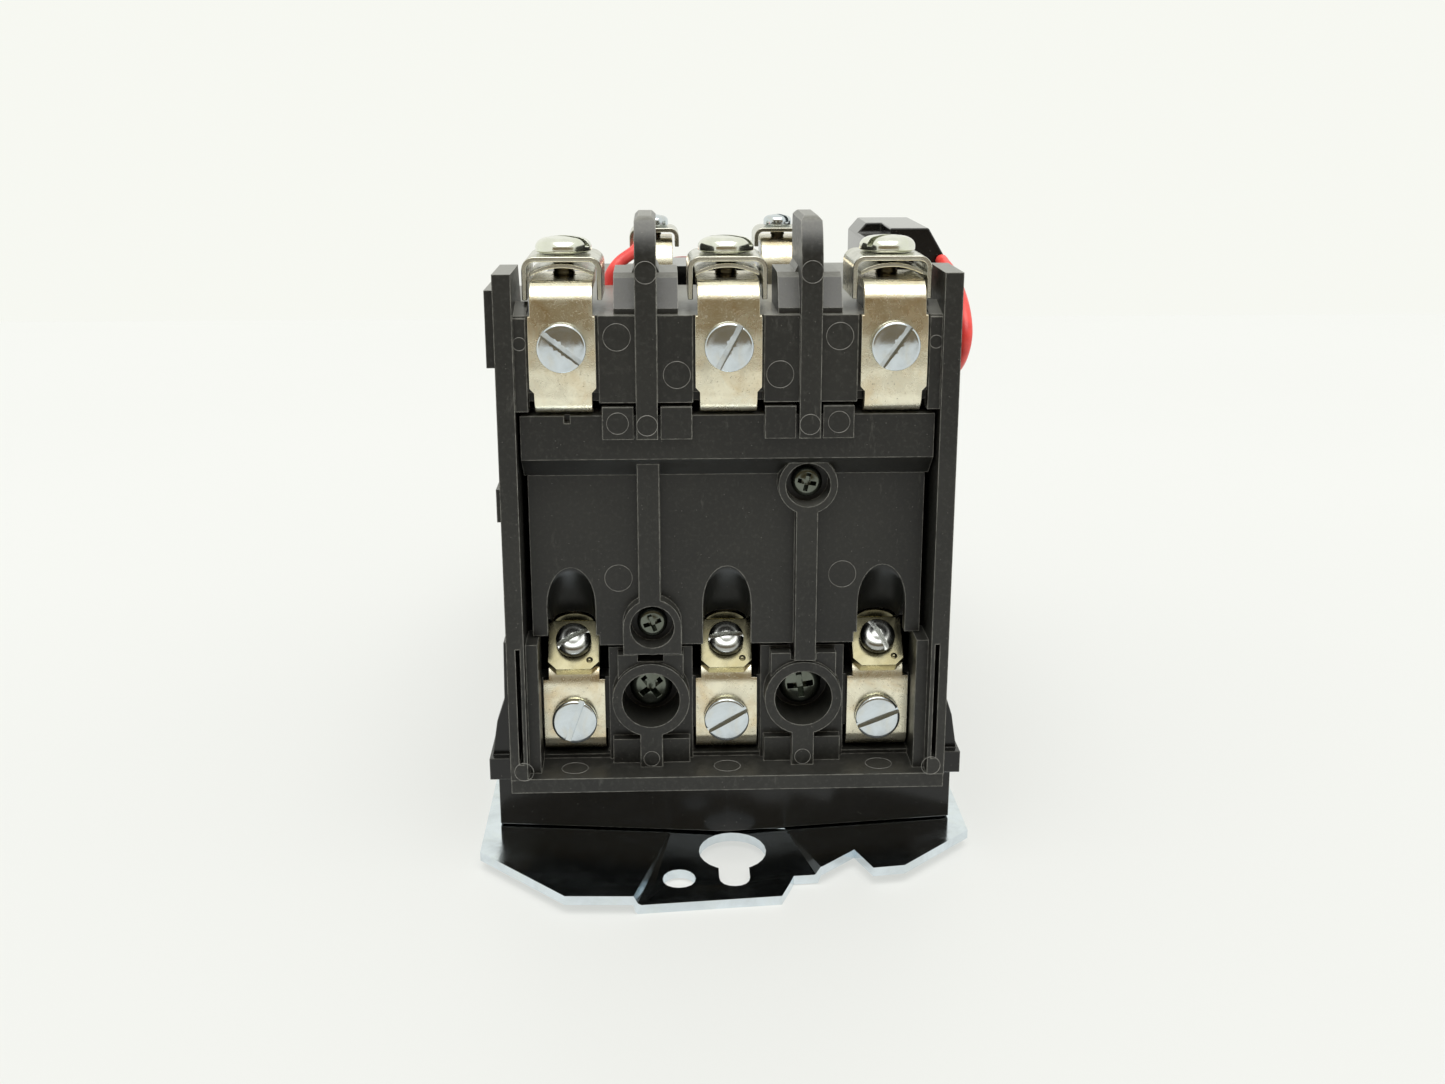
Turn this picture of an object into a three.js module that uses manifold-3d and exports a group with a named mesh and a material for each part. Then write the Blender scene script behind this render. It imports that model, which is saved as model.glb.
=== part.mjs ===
// Magnetic motor starter, open type, three pole, on its mounting plate.
//
// Millimetres, +Z up off the mounting surface. X runs across the three poles and +Y runs from the
// line end to the load end. The pieces are drawn with Y = 0 on the outer face of the line straps,
// and the whole group is then moved so that its origin is the centre of its own footprint.

import * as THREE from 'three';
import { mergeVertices } from 'three/addons/utils/BufferGeometryUtils.js';
import { ConvexGeometry } from 'three/addons/geometries/ConvexGeometry.js';
import Module from 'manifold-3d';

const wasm = await Module();
wasm.setup();

// ---------------------------------------------------------------- driving dimensions

const POLE_PITCH = 27.8;
const POLES = [-POLE_PITCH, 0, POLE_PITCH];
const RIB_X = [-13.8, 13.8];
const GAP = 0.3;

const PLATE = { halfWidth: 45.25, near: -16.5, far: 170.5, thickness: 1.7, lift: 1.8 };
const PLATE_TOP = PLATE.lift + PLATE.thickness;
const KEYHOLE = { x: 0.8, y: 1.2, radius: 6.15, slotHalf: 2.75, slotEnd: -10.2 };

const BOARD = { halfWidth: 39, wallInner: 35.9, back: 44, floor: 18, roof: 101, earTop: 108 };
const LOWER_FACE_Y = 10.9;
const PANEL_BOTTOM = 86.3;

const STRAP = { width: 11.2, neckWidth: 10.4, thickness: 1.6, screwZ: 96, padZ: 105.8, tipY: 19.2 };
const LOAD = { screwZ: 26, faceY: 9, slopeY: 11.67, slopeZ: 39.97, tilt: Math.PI / 4 };
const CONTACT = { lineZ: 74, loadZ: 50, faceY: 21.5, radius: 3, openGap: 3.7 };

const COVER = { faceY: 7, backY: 9.5, ribY: 4, bandY: 2.5, blockY: 1, top: 83.9, bottom: 42.9 };
const ARCH = { half: 4.3, top: 55.6, rise: 7.1, mouthHalf: 3.9, mouthZ: 43.3, mouthRise: 1.8 };
const COVER_SCREWS = [{ x: -13.4, z: 45.3 }, { x: 14, z: 71 }];
const BASE_WELL = { z: 31, radius: 5.2, ring: 7, faceY: 5, floorY: 14.5 };

const MAGNET = { halfWidth: 24, back: 46, yokeEnd: 54, legEnd: 78, bottom: 50, top: 74, legHalf: 6 };
const CARRIER = { front: 24.8, back: 39, bottom: 57, top: 67, armIn: 26.5, armOut: 30.5, end: 97 };
const COIL = { halfWidth: 16.2, near: 55.5, far: 77.2, bottom: 39.5, top: 84.5, blockTop: 103.4 };
const COIL_TERMINAL = { x: 12.4, y: 61, padZ: 108.1, seatZ: 110.9, width: 7.2, thickness: 1.2 };

const HOUSING = { halfWidth: 38.5, near: 45, far: 112, wall: 2.5, bottom: 18.2, top: 98 };
const BASE = { halfWidth: 42.5, flange: 43.9, far: 112, bottom: 3.8, ledge: 15, top: 17.9 };
const OVERLOAD = { halfWidth: 38, near: 114, far: 167, bottom: 3.8, top: 90, wall: 3, ceiling: 60 };
const RESET = { x: -5, y: 140, radius: 3.9, bottom: 70, top: 96.5 };

// ---------------------------------------------------------------- materials

function finish(color, roughness, metalness) {
  return new THREE.MeshStandardMaterial({ color, roughness, metalness });
}

const moulded = () => finish(0x35342f, 0.5, 0);
const glossyMoulded = () => finish(0x1d1d1c, 0.3, 0);
const bluishZinc = () => finish(0xb9c6cf, 0.2, 1);
const zincScrew = () => finish(0xb4bcc2, 0.28, 1);
const tinned = () => finish(0xb8b29f, 0.38, 1);
const chromated = () => finish(0xb0aa84, 0.35, 1);
const silver = () => finish(0xcfcfca, 0.3, 1);
const lamination = () => finish(0x6b6a68, 0.45, 1);
const springWire = () => finish(0x9a9c9e, 0.3, 1);
const redInsulation = () => finish(0xe0443c, 0.45, 0);

// ---------------------------------------------------------------- solids

// A closed manifold-3d solid from a three.js geometry, turned so that its faces point out.
function toSolid(geometry) {
  const bare = geometry.clone();
  bare.deleteAttribute('normal');
  bare.deleteAttribute('uv');
  const merged = mergeVertices(bare, 1e-4);
  const points = merged.attributes.position.array;
  const corners = [];
  let volume = 0;
  for (let i = 0; i < merged.index.count; i += 3) {
    const [a, b, c] = [0, 1, 2].map((k) => merged.index.getX(i + k));
    if (a === b || b === c || a === c) {
      continue;
    }
    corners.push(a, b, c);
    const [p, q, r] = [a, b, c].map((k) => new THREE.Vector3().fromArray(points, 3 * k));
    volume += p.dot(q.cross(r));
  }
  const triVerts = new Uint32Array(volume < 0 ? corners.reverse() : corners);
  const vertProperties = new Float32Array(points);
  return new wasm.Manifold(new wasm.Mesh({ numProp: 3, vertProperties, triVerts }));
}

function toGeometry(solid) {
  const mesh = solid.getMesh();
  const geometry = new THREE.BufferGeometry();
  geometry.setAttribute('position', new THREE.BufferAttribute(mesh.vertProperties, 3));
  geometry.setIndex(new THREE.BufferAttribute(mesh.triVerts, 1));
  geometry.computeVertexNormals();
  return geometry;
}

function union(...solids) {
  return solids.flat().reduce((whole, next) => whole.add(next));
}

function cut(solid, ...tools) {
  return tools.flat().reduce((rest, tool) => rest.subtract(tool), solid);
}

function box(x0, x1, y0, y1, z0, z1) {
  const geometry = new THREE.BoxGeometry(x1 - x0, y1 - y0, z1 - z0);
  geometry.translate((x0 + x1) / 2, (y0 + y1) / 2, (z0 + z1) / 2);
  return toSolid(geometry);
}

// The rotation that carries local (a, b, depth) to the plane across each axis:
// x takes (y, z), y takes (x, z) and z takes (x, y) outlines.
const TURN = {
  x: new THREE.Matrix4().set(0, 0, 1, 0, 1, 0, 0, 0, 0, 1, 0, 0, 0, 0, 0, 1),
  y: new THREE.Matrix4().makeRotationX(Math.PI / 2),
  z: new THREE.Matrix4(),
};

function toShape(outline) {
  if (outline instanceof THREE.Shape) {
    return outline;
  }
  return new THREE.Shape(outline.map(([a, b]) => new THREE.Vector2(a, b)));
}

// An outline drawn across an axis, pushed along that axis between two places.
function prism(axis, outline, from, to, curveSegments = 8) {
  const options = { depth: to - from, bevelEnabled: false, curveSegments };
  const geometry = new THREE.ExtrudeGeometry(toShape(outline), options);
  geometry.applyMatrix4(TURN[axis]);
  const shift = { x: [from, 0, 0], y: [0, to, 0], z: [0, 0, from] }[axis];
  geometry.translate(...shift);
  return toSolid(geometry);
}

// A cylinder along an axis between two places; the centre gives the other two coordinates.
function rod(axis, radius, from, to, [a, b], segments = 24) {
  const geometry = new THREE.CylinderGeometry(radius, radius, to - from, segments);
  const middle = (from + to) / 2;
  if (axis === 'x') {
    geometry.rotateZ(Math.PI / 2);
    geometry.translate(middle, a, b);
  } else if (axis === 'y') {
    geometry.translate(a, middle, b);
  } else {
    geometry.rotateX(Math.PI / 2);
    geometry.translate(a, b, middle);
  }
  return toSolid(geometry);
}

function hull(points) {
  return toSolid(new ConvexGeometry(points.map((p) => new THREE.Vector3(...p))));
}

// The same solid on both sides of the centre plane.
function both(make) {
  return [-1, 1].map(make);
}

function span(side, inner, outer) {
  return side < 0 ? [-outer, -inner] : [inner, outer];
}

// ---------------------------------------------------------------- bent sheet and wire

// A polyline with each inner corner rounded to its own radius.
function roundedPath(corners, radii, steps = 4) {
  const points = corners.map(([a, b]) => new THREE.Vector2(a, b));
  const path = [points[0]];
  for (let i = 1; i < points.length - 1; i += 1) {
    const back = points[i - 1].clone().sub(points[i]).normalize();
    const ahead = points[i + 1].clone().sub(points[i]).normalize();
    const half = Math.acos(back.dot(ahead)) / 2;
    const radius = radii[i - 1];
    const toCentre = back.clone().add(ahead).normalize().multiplyScalar(radius / Math.sin(half));
    const centre = points[i].clone().add(toCentre);
    const start = points[i].clone().addScaledVector(back, radius / Math.tan(half)).sub(centre);
    const end = points[i].clone().addScaledVector(ahead, radius / Math.tan(half)).sub(centre);
    const turn = Math.atan2(start.cross(end), start.dot(end));
    for (let k = 0; k <= steps; k += 1) {
      const spoke = start.clone().rotateAround(new THREE.Vector2(), (turn * k) / steps);
      path.push(centre.clone().add(spoke));
    }
  }
  path.push(points[points.length - 1]);
  return path;
}

// Sheet metal of one thickness bent along a path in the (y, z) plane, between two X places.
function bentSheet(corners, radii, thickness, x0, x1) {
  const path = roundedPath(corners, radii);
  const left = [];
  const right = [];
  path.forEach((point, i) => {
    const before = path[Math.max(i - 1, 0)];
    const after = path[Math.min(i + 1, path.length - 1)];
    const along = after.clone().sub(before).normalize();
    const normal = new THREE.Vector2(-along.y, along.x).multiplyScalar(thickness / 2);
    left.push(point.clone().add(normal));
    right.unshift(point.clone().sub(normal));
  });
  return prism('x', new THREE.Shape([...left, ...right]), x0, x1);
}

// An inverted U of sheet with rounded shoulders, open along Y.
function saddle(halfWidth, thickness, legBottom, top, y0, y1) {
  const round = 1.8;
  const outer = new THREE.Shape();
  outer.moveTo(-halfWidth, legBottom);
  outer.lineTo(-halfWidth, top - round);
  outer.absarc(-halfWidth + round, top - round, round, Math.PI, Math.PI / 2, true);
  outer.absarc(halfWidth - round, top - round, round, Math.PI / 2, 0, true);
  outer.lineTo(halfWidth, legBottom);
  const inner = box(-halfWidth + thickness, halfWidth - thickness, y0 - 1, y1 + 1, legBottom - 1, top - thickness);
  return cut(prism('y', outer, y0, y1, 4), inner);
}

function wireSection(radius, sides) {
  const section = new THREE.Shape();
  for (let i = 0; i < sides; i += 1) {
    const angle = (2 * Math.PI * i) / sides;
    section[i ? 'lineTo' : 'moveTo'](radius * Math.cos(angle), radius * Math.sin(angle));
  }
  section.closePath();
  return section;
}

function wire(curve, radius, sides, steps) {
  const options = { steps, bevelEnabled: false, extrudePath: curve };
  return toSolid(new THREE.ExtrudeGeometry(wireSection(radius, sides), options));
}

// A helix along Y, drawn about the Y axis.
class Helix extends THREE.Curve {
  constructor(radius, from, to, turns) {
    super();
    Object.assign(this, { radius, from, to, turns });
  }

  getPoint(t, target = new THREE.Vector3()) {
    const angle = 2 * Math.PI * this.turns * t;
    const y = this.from + (this.to - this.from) * t;
    return target.set(this.radius * Math.cos(angle), y, this.radius * Math.sin(angle));
  }
}

function coilSpring(radius, wireRadius, from, to, turns) {
  const helix = new Helix(radius, from + wireRadius, to - wireRadius, turns);
  return wire(helix, wireRadius, 4, turns * 8);
}

// ---------------------------------------------------------------- screws

// A screw about the Z axis: the underside of its head is at z = 0 and the shank goes down.
function screw({ headRadius, headHeight, rim, shankRadius, shankLength, drive }) {
  const profile = [
    [0, -shankLength],
    [shankRadius, -shankLength],
    [shankRadius, 0],
    [headRadius, 0],
    [headRadius, rim],
    [headRadius * 0.9, rim + (headHeight - rim) * 0.55],
    [headRadius * 0.6, headHeight * 0.97],
    [0, headHeight],
  ];
  const lathe = new THREE.LatheGeometry(profile.map(([r, z]) => new THREE.Vector2(r, z)), 16);
  lathe.rotateX(Math.PI / 2);
  return cut(toSolid(lathe), drive(headRadius, headHeight));
}

function slot(headRadius, headHeight) {
  return [box(-headRadius - 1, headRadius + 1, -0.55, 0.55, headHeight * 0.45, headHeight + 1)];
}

function cross(headRadius, headHeight) {
  const reach = headRadius * 0.62;
  const arm = (a, b) => box(-a, a, -b, b, headHeight * 0.25, headHeight + 1);
  return [union(arm(reach, 0.45), arm(0.45, reach))];
}

const SCREWS = {
  terminal: { headRadius: 4.8, headHeight: 2.6, rim: 1.3, shankRadius: 1.9, shankLength: 8, drive: slot },
  strap: { headRadius: 4.1, headHeight: 1.7, rim: 1, shankRadius: 1.7, shankLength: 7, drive: slot },
  load: { headRadius: 3.2, headHeight: 2.6, rim: 1.1, shankRadius: 1.6, shankLength: 5.5, drive: slot },
  cover: { headRadius: 2.7, headHeight: 1.7, rim: 0.8, shankRadius: 1.2, shankLength: 8, drive: cross },
  base: { headRadius: 3.9, headHeight: 2.4, rim: 1.2, shankRadius: 1.8, shankLength: 8, drive: cross },
  coil: { headRadius: 2.8, headHeight: 2.2, rim: 1, shankRadius: 1.4, shankLength: 6, drive: slot },
};

// ---------------------------------------------------------------- assembly helpers

const drawing = new THREE.Group();

function add(name, solid, material, position = [0, 0, 0], rotation = [0, 0, 0]) {
  const mesh = new THREE.Mesh(toGeometry(solid), material);
  mesh.name = name;
  mesh.position.set(...position);
  mesh.rotation.set(...rotation);
  drawing.add(mesh);
}

const FACING_LINE_END = Math.PI / 2;

// ---------------------------------------------------------------- mounting plate

// A foot pressed down out of the plate: the body of a shallow dish, and the hollow above it.
// depthAt gives how far down each place along Y is pressed, as a share of the plate's lift.
function footDish(outline, inset, depthAt) {
  const centre = [0, 1].map((k) => outline.reduce((sum, p) => sum + p[k], 0) / outline.length);
  const shrink = (by) => outline.map(([x, y]) => {
    const dx = x - centre[0];
    const dy = y - centre[1];
    const reach = Math.hypot(dx, dy);
    const kept = (reach - by * depthAt(y)) / reach;
    return [centre[0] + dx * kept, centre[1] + dy * kept, PLATE.lift * (1 - depthAt(y))];
  });
  const level = (ring, height) => ring.map(([x, y]) => [x, y, height]);
  const raised = (ring, by) => ring.map(([x, y, z]) => [x, y, z + by]);
  return {
    body: hull([...level(outline, PLATE_TOP - 0.2), ...shrink(inset)]),
    hollow: hull([...level(shrink(0.4), PLATE_TOP + 0.4), ...raised(shrink(inset + 0.7), PLATE.thickness)]),
  };
}

function mountingPlate() {
  const { halfWidth, near, far, lift } = PLATE;
  const outline = [
    [-halfWidth, 1], [-29, -16], [-17.4, near], [8.8, -14.1], [11.4, -7.3], [16.5, -7], [23, -0.7],
    [25.6, -7.8], [31.4, -7], [halfWidth, 6.5], [halfWidth, far - 5], [halfWidth - 5, far],
    [-halfWidth + 5, far], [-halfWidth, far - 5],
  ];
  // The near foot slopes down from a fold in front of the base and is level along the near edge.
  const [foldY, levelY] = [9.1, -9.5];
  const nearFoot = [
    [-10.2, foldY], [11, 8.5], [17.7, levelY], [18.6, -12], [18, -24], [-19.6, -24], [-15.5, levelY],
  ];
  const nearDepth = (y) => Math.min(1, (foldY - y) / (foldY - levelY));
  const farFeet = both((side) => {
    const [x0, x1] = span(side, 24, 43.5);
    return [[x0, 154], [x1, 154], [x1 + 2, far + 9], [x0 - 2, far + 9]];
  });
  const sheet = prism('z', outline, lift, PLATE_TOP);
  const blank = prism('z', outline, 0, PLATE_TOP);
  const dishes = [footDish(nearFoot, 1.3, nearDepth), ...farFeet.map((foot) => footDish(foot, 2.2, () => 1))];
  const joined = cut(
    union(sheet, dishes.map(({ body }) => body.intersect(blank))),
    dishes.map(({ hollow }) => hollow),
  );
  const { x, y, radius, slotHalf, slotEnd } = KEYHOLE;
  return cut(
    joined,
    rod('z', radius, -1, 5, [x, y]),
    box(x - slotHalf, x + slotHalf, slotEnd + slotHalf, y, -1, 5),
    rod('z', slotHalf, -1, 5, [x, slotEnd + slotHalf], 16),
    rod('z', 2.95, -1, 5, [-9.1, -7.5], 16),
    both((side) => box(side * 34 - slotHalf, side * 34 + slotHalf, 161, far + 1, -1, 5)),
    both((side) => rod('z', slotHalf, -1, 5, [side * 34, 161], 16)),
  );
}

// ---------------------------------------------------------------- base tray

function baseHousing() {
  const { halfWidth, flange, far, bottom, ledge, top } = BASE;
  const prow = [[-halfWidth, 12], [0, 7], [halfWidth, 12], [halfWidth, far], [-halfWidth, far]];
  const block = prism('z', prow, bottom, ledge);
  const rim = box(-flange, flange, 10, far, 13.7, top);
  const gussets = both((side) => {
    const web = [[39.3, 17], [43.6, 17], [42.4, 24.5], [40.9, 29], [40.7, 40], [39.3, 40]];
    const outline = web.map(([x, z]) => [side * x, z]);
    return [12, 60, 104].map((y) => prism('y', outline, y, y + 3.5));
  });
  const hollow = box(-39.5, 39.5, 18, 108.5, bottom + 3, top + 1);
  const posts = both((side) => box(...span(side, 18, 23.5), 48, 76, bottom + 1, MAGNET.bottom - GAP));
  return union(cut(union(block, rim), hollow), gussets.flat(), posts);
}

// ---------------------------------------------------------------- contact board

function sideWall(side) {
  const { halfWidth, wallInner, back, floor, roof, earTop } = BOARD;
  const profile = [
    [0, floor - 0.1], [back, floor - 0.1], [back, roof], [19, roof], [15.5, earTop], [0, earTop],
  ];
  return prism('x', profile, ...span(side, wallInner, halfWidth));
}

function fin(x) {
  const { roof } = BOARD;
  const profile = new THREE.Shape();
  profile.moveTo(0, 80.2);
  profile.lineTo(0, 112.4);
  profile.lineTo(2.6, 116);
  profile.quadraticCurveTo(3.4, 117.1, 5, 117.1);
  profile.lineTo(17, 117.1);
  profile.quadraticCurveTo(20, 117.1, 20, 114);
  profile.lineTo(20, roof - 1);
  profile.lineTo(2, roof - 1);
  profile.lineTo(2, 80.2);
  const corners = both((side) => {
    const edge = [[0.9, 117.3], [1.9, 117.3], [1.9, 116.2]].map(([dx, z]) => [x + side * dx, z]);
    return prism('y', edge, -1, 21);
  });
  const blade = cut(prism('x', profile, x - 1.8, x + 1.8, 4), corners);
  const shoulder = [[2.5, roof - 1], [2.5, roof + 1], [5.5, 106.8], [7, 107.5], [19, 107.5], [19, roof - 1]];
  const root = [[-2.6, 107], [-1.8, 108.6], [1.8, 108.6], [2.6, 107]].map(([dx, z]) => [x + dx, z]);
  return union(blade, prism('x', shoulder, x - 5.4, x + 5.4), prism('y', root, 6.9, 19));
}

// The pillar between two load straps, with the deep screw well in its front.
function basePillar(x) {
  const { z, ring, faceY } = BASE_WELL;
  return union(
    box(x - 7.6, x + 7.6, 9, 24, BOARD.floor, 39.9),
    box(x - 5.9, x + 5.9, 6, 10, 30, 39.4),
    rod('y', ring, faceY, 12, [x, z], 32),
    box(x - 7, x + 7, 7, 10, BOARD.floor, 22.7),
    box(x - 2, x + 2, faceY, 10, BOARD.floor - 0.5, 26),
  );
}

function contactBoard() {
  const { halfWidth, wallInner, back, floor, roof } = BOARD;
  const inner = wallInner + 0.6;
  const body = union(
    both(sideWall),
    box(-halfWidth, halfWidth, 0.4, 10, 15.3, floor),
    box(-inner, inner, 9.6, back, floor - 0.1, 18.8),
    box(-inner, inner, 2, back, roof - 3, roof),
    box(-inner, inner, 1.2, 9, PANEL_BOTTOM, roof),
    box(-inner, inner, LOWER_FACE_Y, 15, floor, 33.5),
    RIB_X.map((x) => box(x - 1.5, x + 1.5, COVER.backY + GAP, 19, floor, roof - 2)),
    COVER_SCREWS.map(({ x, z }) => rod('y', 3.2, COVER.backY + GAP, 19, [x, z], 16)),
    RIB_X.map(fin),
    RIB_X.map(basePillar),
    POLES.map((x) => box(x - 4.4, x + 4.4, 3.4, 18, roof - 1, STRAP.padZ - 1.1)),
    both((side) => prism('x', [[1, 84.9], [1, 100.6], [8, 102.6], [8, 84.9]], ...span(side, 33.75, 36.2))),
    both((side) => box(...span(side, 33.75, 36.7), 3, 11, floor, 42.6)),
    both((side) => box(...span(side, 38.5, 40.8), 11, 19, 63, 69)),
    box(-42, -38.5, 15, 30, 90, 103.6),
  );
  const strapHole = (x) => [
    rod('y', 2, -1, 10, [x, STRAP.screwZ], 12),
    rod('y', 2, 8, 16, [x, LOAD.screwZ], 12),
    rod('z', 2.2, roof - 4, STRAP.padZ, [x, 12.5], 12),
    box(x - 6, x + 6, 0, 1.2 + STRAP.thickness - 0.9, PANEL_BOTTOM - 1, roof + 1),
    box(x - 6, x + 6, 0, 3.4, PANEL_BOTTOM - 1, 88),
    box(x - 6, x + 6, 9, 15.1, 18.8, 23.4),
  ];
  return cut(
    body,
    POLES.map(strapHole).flat(),
    RIB_X.map((x) => rod('y', BASE_WELL.radius, 0, BASE_WELL.floorY, [x, BASE_WELL.z], 32)),
    RIB_X.map((x) => rod('y', 2.1, 10, 25, [x, BASE_WELL.z], 12)),
    COVER_SCREWS.map(({ x, z }) => rod('y', 1.5, 5, 20, [x, z], 12)),
    RIB_X.map((x) => box(x - 2.3, x + 2.3, 3, 9.9, 38.2, 41)),
    both((side) => box(...span(side, 36.6, 37.4), -1, 7, 21, 42.8)),
  );
}

// ---------------------------------------------------------------- arc cover

function coverOutline() {
  const { bottom, top } = COVER;
  const half = [[35.4, top], [35.4, 76.2], [34.8, 74], [34.8, bottom], [22.9, bottom], [22.9, 41], [4.6, 41]];
  const left = half.map(([x, z]) => [-x, z]).reverse();
  return [...half, ...left];
}

// The opening in the cover that lets a screwdriver through to a load terminal, with an elliptical top.
function driverArch(x) {
  const { half, top, rise } = ARCH;
  const steps = 8;
  const edge = Array.from({ length: steps + 1 }, (_, i) => {
    const angle = ((i / steps) * Math.PI) / 2;
    return [half * Math.sin(angle), top - rise * (1 - Math.cos(angle))];
  });
  const left = edge.slice(1).reverse().map(([dx, z]) => [x - dx, z]);
  const right = edge.map(([dx, z]) => [x + dx, z]);
  return prism('y', [[x - half, 39], ...left, ...right, [x + half, 39]], 3, COVER.backY + 0.5);
}

// The sloping roof, cheeks and lip behind each arch, which keep the arc off the screwdriver.
function driverHood(x) {
  const { half, mouthHalf, mouthZ, mouthRise } = ARCH;
  const outer = half + 1.1;
  const roof = prism('x', [[9.2, 57.4], [9.2, 55.7], [14.4, 47.6], [15.8, 48.6]], x - outer, x + outer);
  const cheek = [[9.2, 57], [9.2, 47.7], [14.6, 47.7], [15.6, 48.6]];
  const cheeks = both((side) => prism('x', cheek, ...(side < 0 ? [x - outer, x - half] : [x + half, x + outer])));
  const mouth = new THREE.Shape();
  mouth.absellipse(x, mouthZ, mouthHalf, mouthRise, 0, Math.PI * 2, false);
  const lip = cut(box(x - outer, x + outer, 14.4, 15.6, 43.6, 48.2), prism('y', mouth, 14, 16, 8));
  return union(roof, cheeks, lip);
}

function arcCover() {
  const { faceY, backY, ribY, bandY, blockY, top } = COVER;
  const [lowBoss, highBoss] = COVER_SCREWS;
  const plate = prism('y', coverOutline(), faceY, backY);
  const solid = union(
    plate,
    box(-35.4, 35.4, bandY, backY, 76.2, top),
    prism('x', [[faceY, 72.5], [bandY, 76.3], [faceY + 0.5, 76.3]], -35.4, 35.4),
    RIB_X.map((x) => both((side) => {
      const [x0, x1] = span(side, 2.3, 7.6);
      return box(x + x0, x + x1, blockY, backY, 80, 85.6);
    })).flat(),
    box(-15.7, -11.9, ribY, backY, lowBoss.z, 79.8),
    box(12, 15.8, ribY, backY, 38.6, 79.8),
    rod('y', 5.2, ribY, backY, [lowBoss.x, lowBoss.z], 28),
    box(lowBoss.x - 5.2, lowBoss.x + 5.2, ribY, backY, 40.2, lowBoss.z),
    rod('y', 5.2, ribY, backY, [highBoss.x, highBoss.z], 28),
  );
  const wells = COVER_SCREWS.map(({ x, z }) => [
    rod('y', 3.9, 3, 8.2, [x, z], 24),
    rod('y', 1.5, 5, 11, [x, z], 12),
  ]);
  const hooded = union(cut(solid, POLES.map(driverArch)), POLES.map(driverHood));
  return cut(hooded, wells.flat(), [box(-27.9, -26.9, 2, 4, 82.6, 85)]);
}

// ---------------------------------------------------------------- terminals

function contactTip(x, z) {
  return rod('y', CONTACT.radius, STRAP.tipY, CONTACT.faceY, [x, z], 16);
}

function lineStrap() {
  const { width, neckWidth, thickness, padZ, tipY, screwZ } = STRAP;
  const route = [[17.5, padZ], [0.8, padZ], [0.8, 85.2], [tipY, 85.2], [tipY, 70.5]];
  const strip = bentSheet(route, [3, 2.5, 2], thickness, -width / 2, width / 2);
  const neck = both((side) => box(...span(side, neckWidth / 2, width), -2, 20, 101, 110));
  const inside = both((side) => box(...span(side, neckWidth / 2 - 0.6, width), 5, 24, 60, 88));
  const holes = [rod('y', 1.95, -1, 3, [0, screwZ], 12), rod('z', 2.2, 103, 108, [0, 12.5], 12)];
  return union(cut(strip, neck, inside, holes), contactTip(0, CONTACT.lineZ));
}

function loadStrap() {
  const { width, thickness, tipY } = STRAP;
  const y = LOAD.faceY + thickness / 2;
  const route = [[14, 20.1], [y, 20.1], [y, 34.1], [tipY, 43.5], [tipY, 54.5]];
  const strip = bentSheet(route, [2.4, 5, 3], thickness, -width / 2, width / 2);
  const inside = both((side) => box(...span(side, 4.6, width), 14.5, 24, 38, 60));
  const shank = rod('z', 1.95, -9, 9, [0, 0], 12).rotate([45, 0, 0]);
  const holes = [rod('y', 1.95, 8, 12, [0, LOAD.screwZ], 12), shank.translate([0, LOAD.slopeY, LOAD.slopeZ])];
  return union(cut(strip, inside, holes), contactTip(0, CONTACT.loadZ));
}

function linePressurePlate() {
  const arch = new THREE.Shape();
  arch.moveTo(-5.4, 107);
  arch.quadraticCurveTo(0, 109.6, 5.4, 107);
  arch.lineTo(5.4, 107.9);
  arch.quadraticCurveTo(0, 110.4, -5.4, 107.9);
  const plate = prism('y', arch, 5.6, 19, 8);
  return cut(plate, rod('z', 2.2, 105, 111, [0, 12.5], 12));
}

function lineSaddle() {
  return cut(saddle(6.7, 0.85, 103.1, 110.3, 5, 20), rod('z', 2.2, 105, 112, [0, 12.5], 12));
}

// Flat clamp with its two front corners cut off, lying in its own tilted plane.
function loadClamp() {
  const outline = [[-4.7, 4.4], [-4.7, -3.9], [-3.2, -5.4], [3.2, -5.4], [4.7, -3.9], [4.7, 4.4]];
  const plate = prism('z', outline, -1.6, 0);
  return cut(plate, rod('z', 1.9, -3, 1, [0, 0], 12));
}

// ---------------------------------------------------------------- moving contacts

function bridgeContact() {
  const { lineZ, loadZ, faceY, openGap, radius } = CONTACT;
  const front = faceY + openGap + 1.4;
  const bar = box(-4, 4, front, front + 1.6, loadZ - 3.6, lineZ + 3.6);
  const tips = [loadZ, lineZ].map((z) => rod('y', radius, front - 1.4, front + 0.2, [0, z], 16));
  return union(bar, tips);
}

function contactCarrier() {
  const { front, back, bottom, top, armIn, armOut, end } = CARRIER;
  const crossbar = cut(
    box(-32, 32, front, back, bottom, top),
    POLES.map((x) => box(x - 4.6, x + 4.6, front + 1.5, 36.6, bottom - 1, top + 1)),
  );
  const arms = both((side) => box(...span(side, armIn, armOut), back - 1, end, bottom + 0.5, top - 0.5));
  const yoke = box(-armOut, armOut, 92, end, 56, 68);
  const springLug = box(-5, 5, 92, end, 40, 57);
  const auxLug = box(armOut - 0.5, 33.6, 60, 64, 59, 65);
  return union(crossbar, arms, yoke, springLug, auxLug);
}

function contactSpring() {
  return coilSpring(2.6, 0.4, 28.6, 36.4, 4.5);
}

function armature() {
  const { halfWidth, legEnd, bottom, top } = MAGNET;
  const face = legEnd + 5.5;
  const bar = box(-halfWidth, halfWidth, face, 91.7, bottom, top);
  const rivets = [-15, 15].map((x) => rod('z', 2, bottom - 0.8, top + 0.8, [x, 87.6], 12));
  return union(bar, rivets);
}

// ---------------------------------------------------------------- magnet and coil

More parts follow.
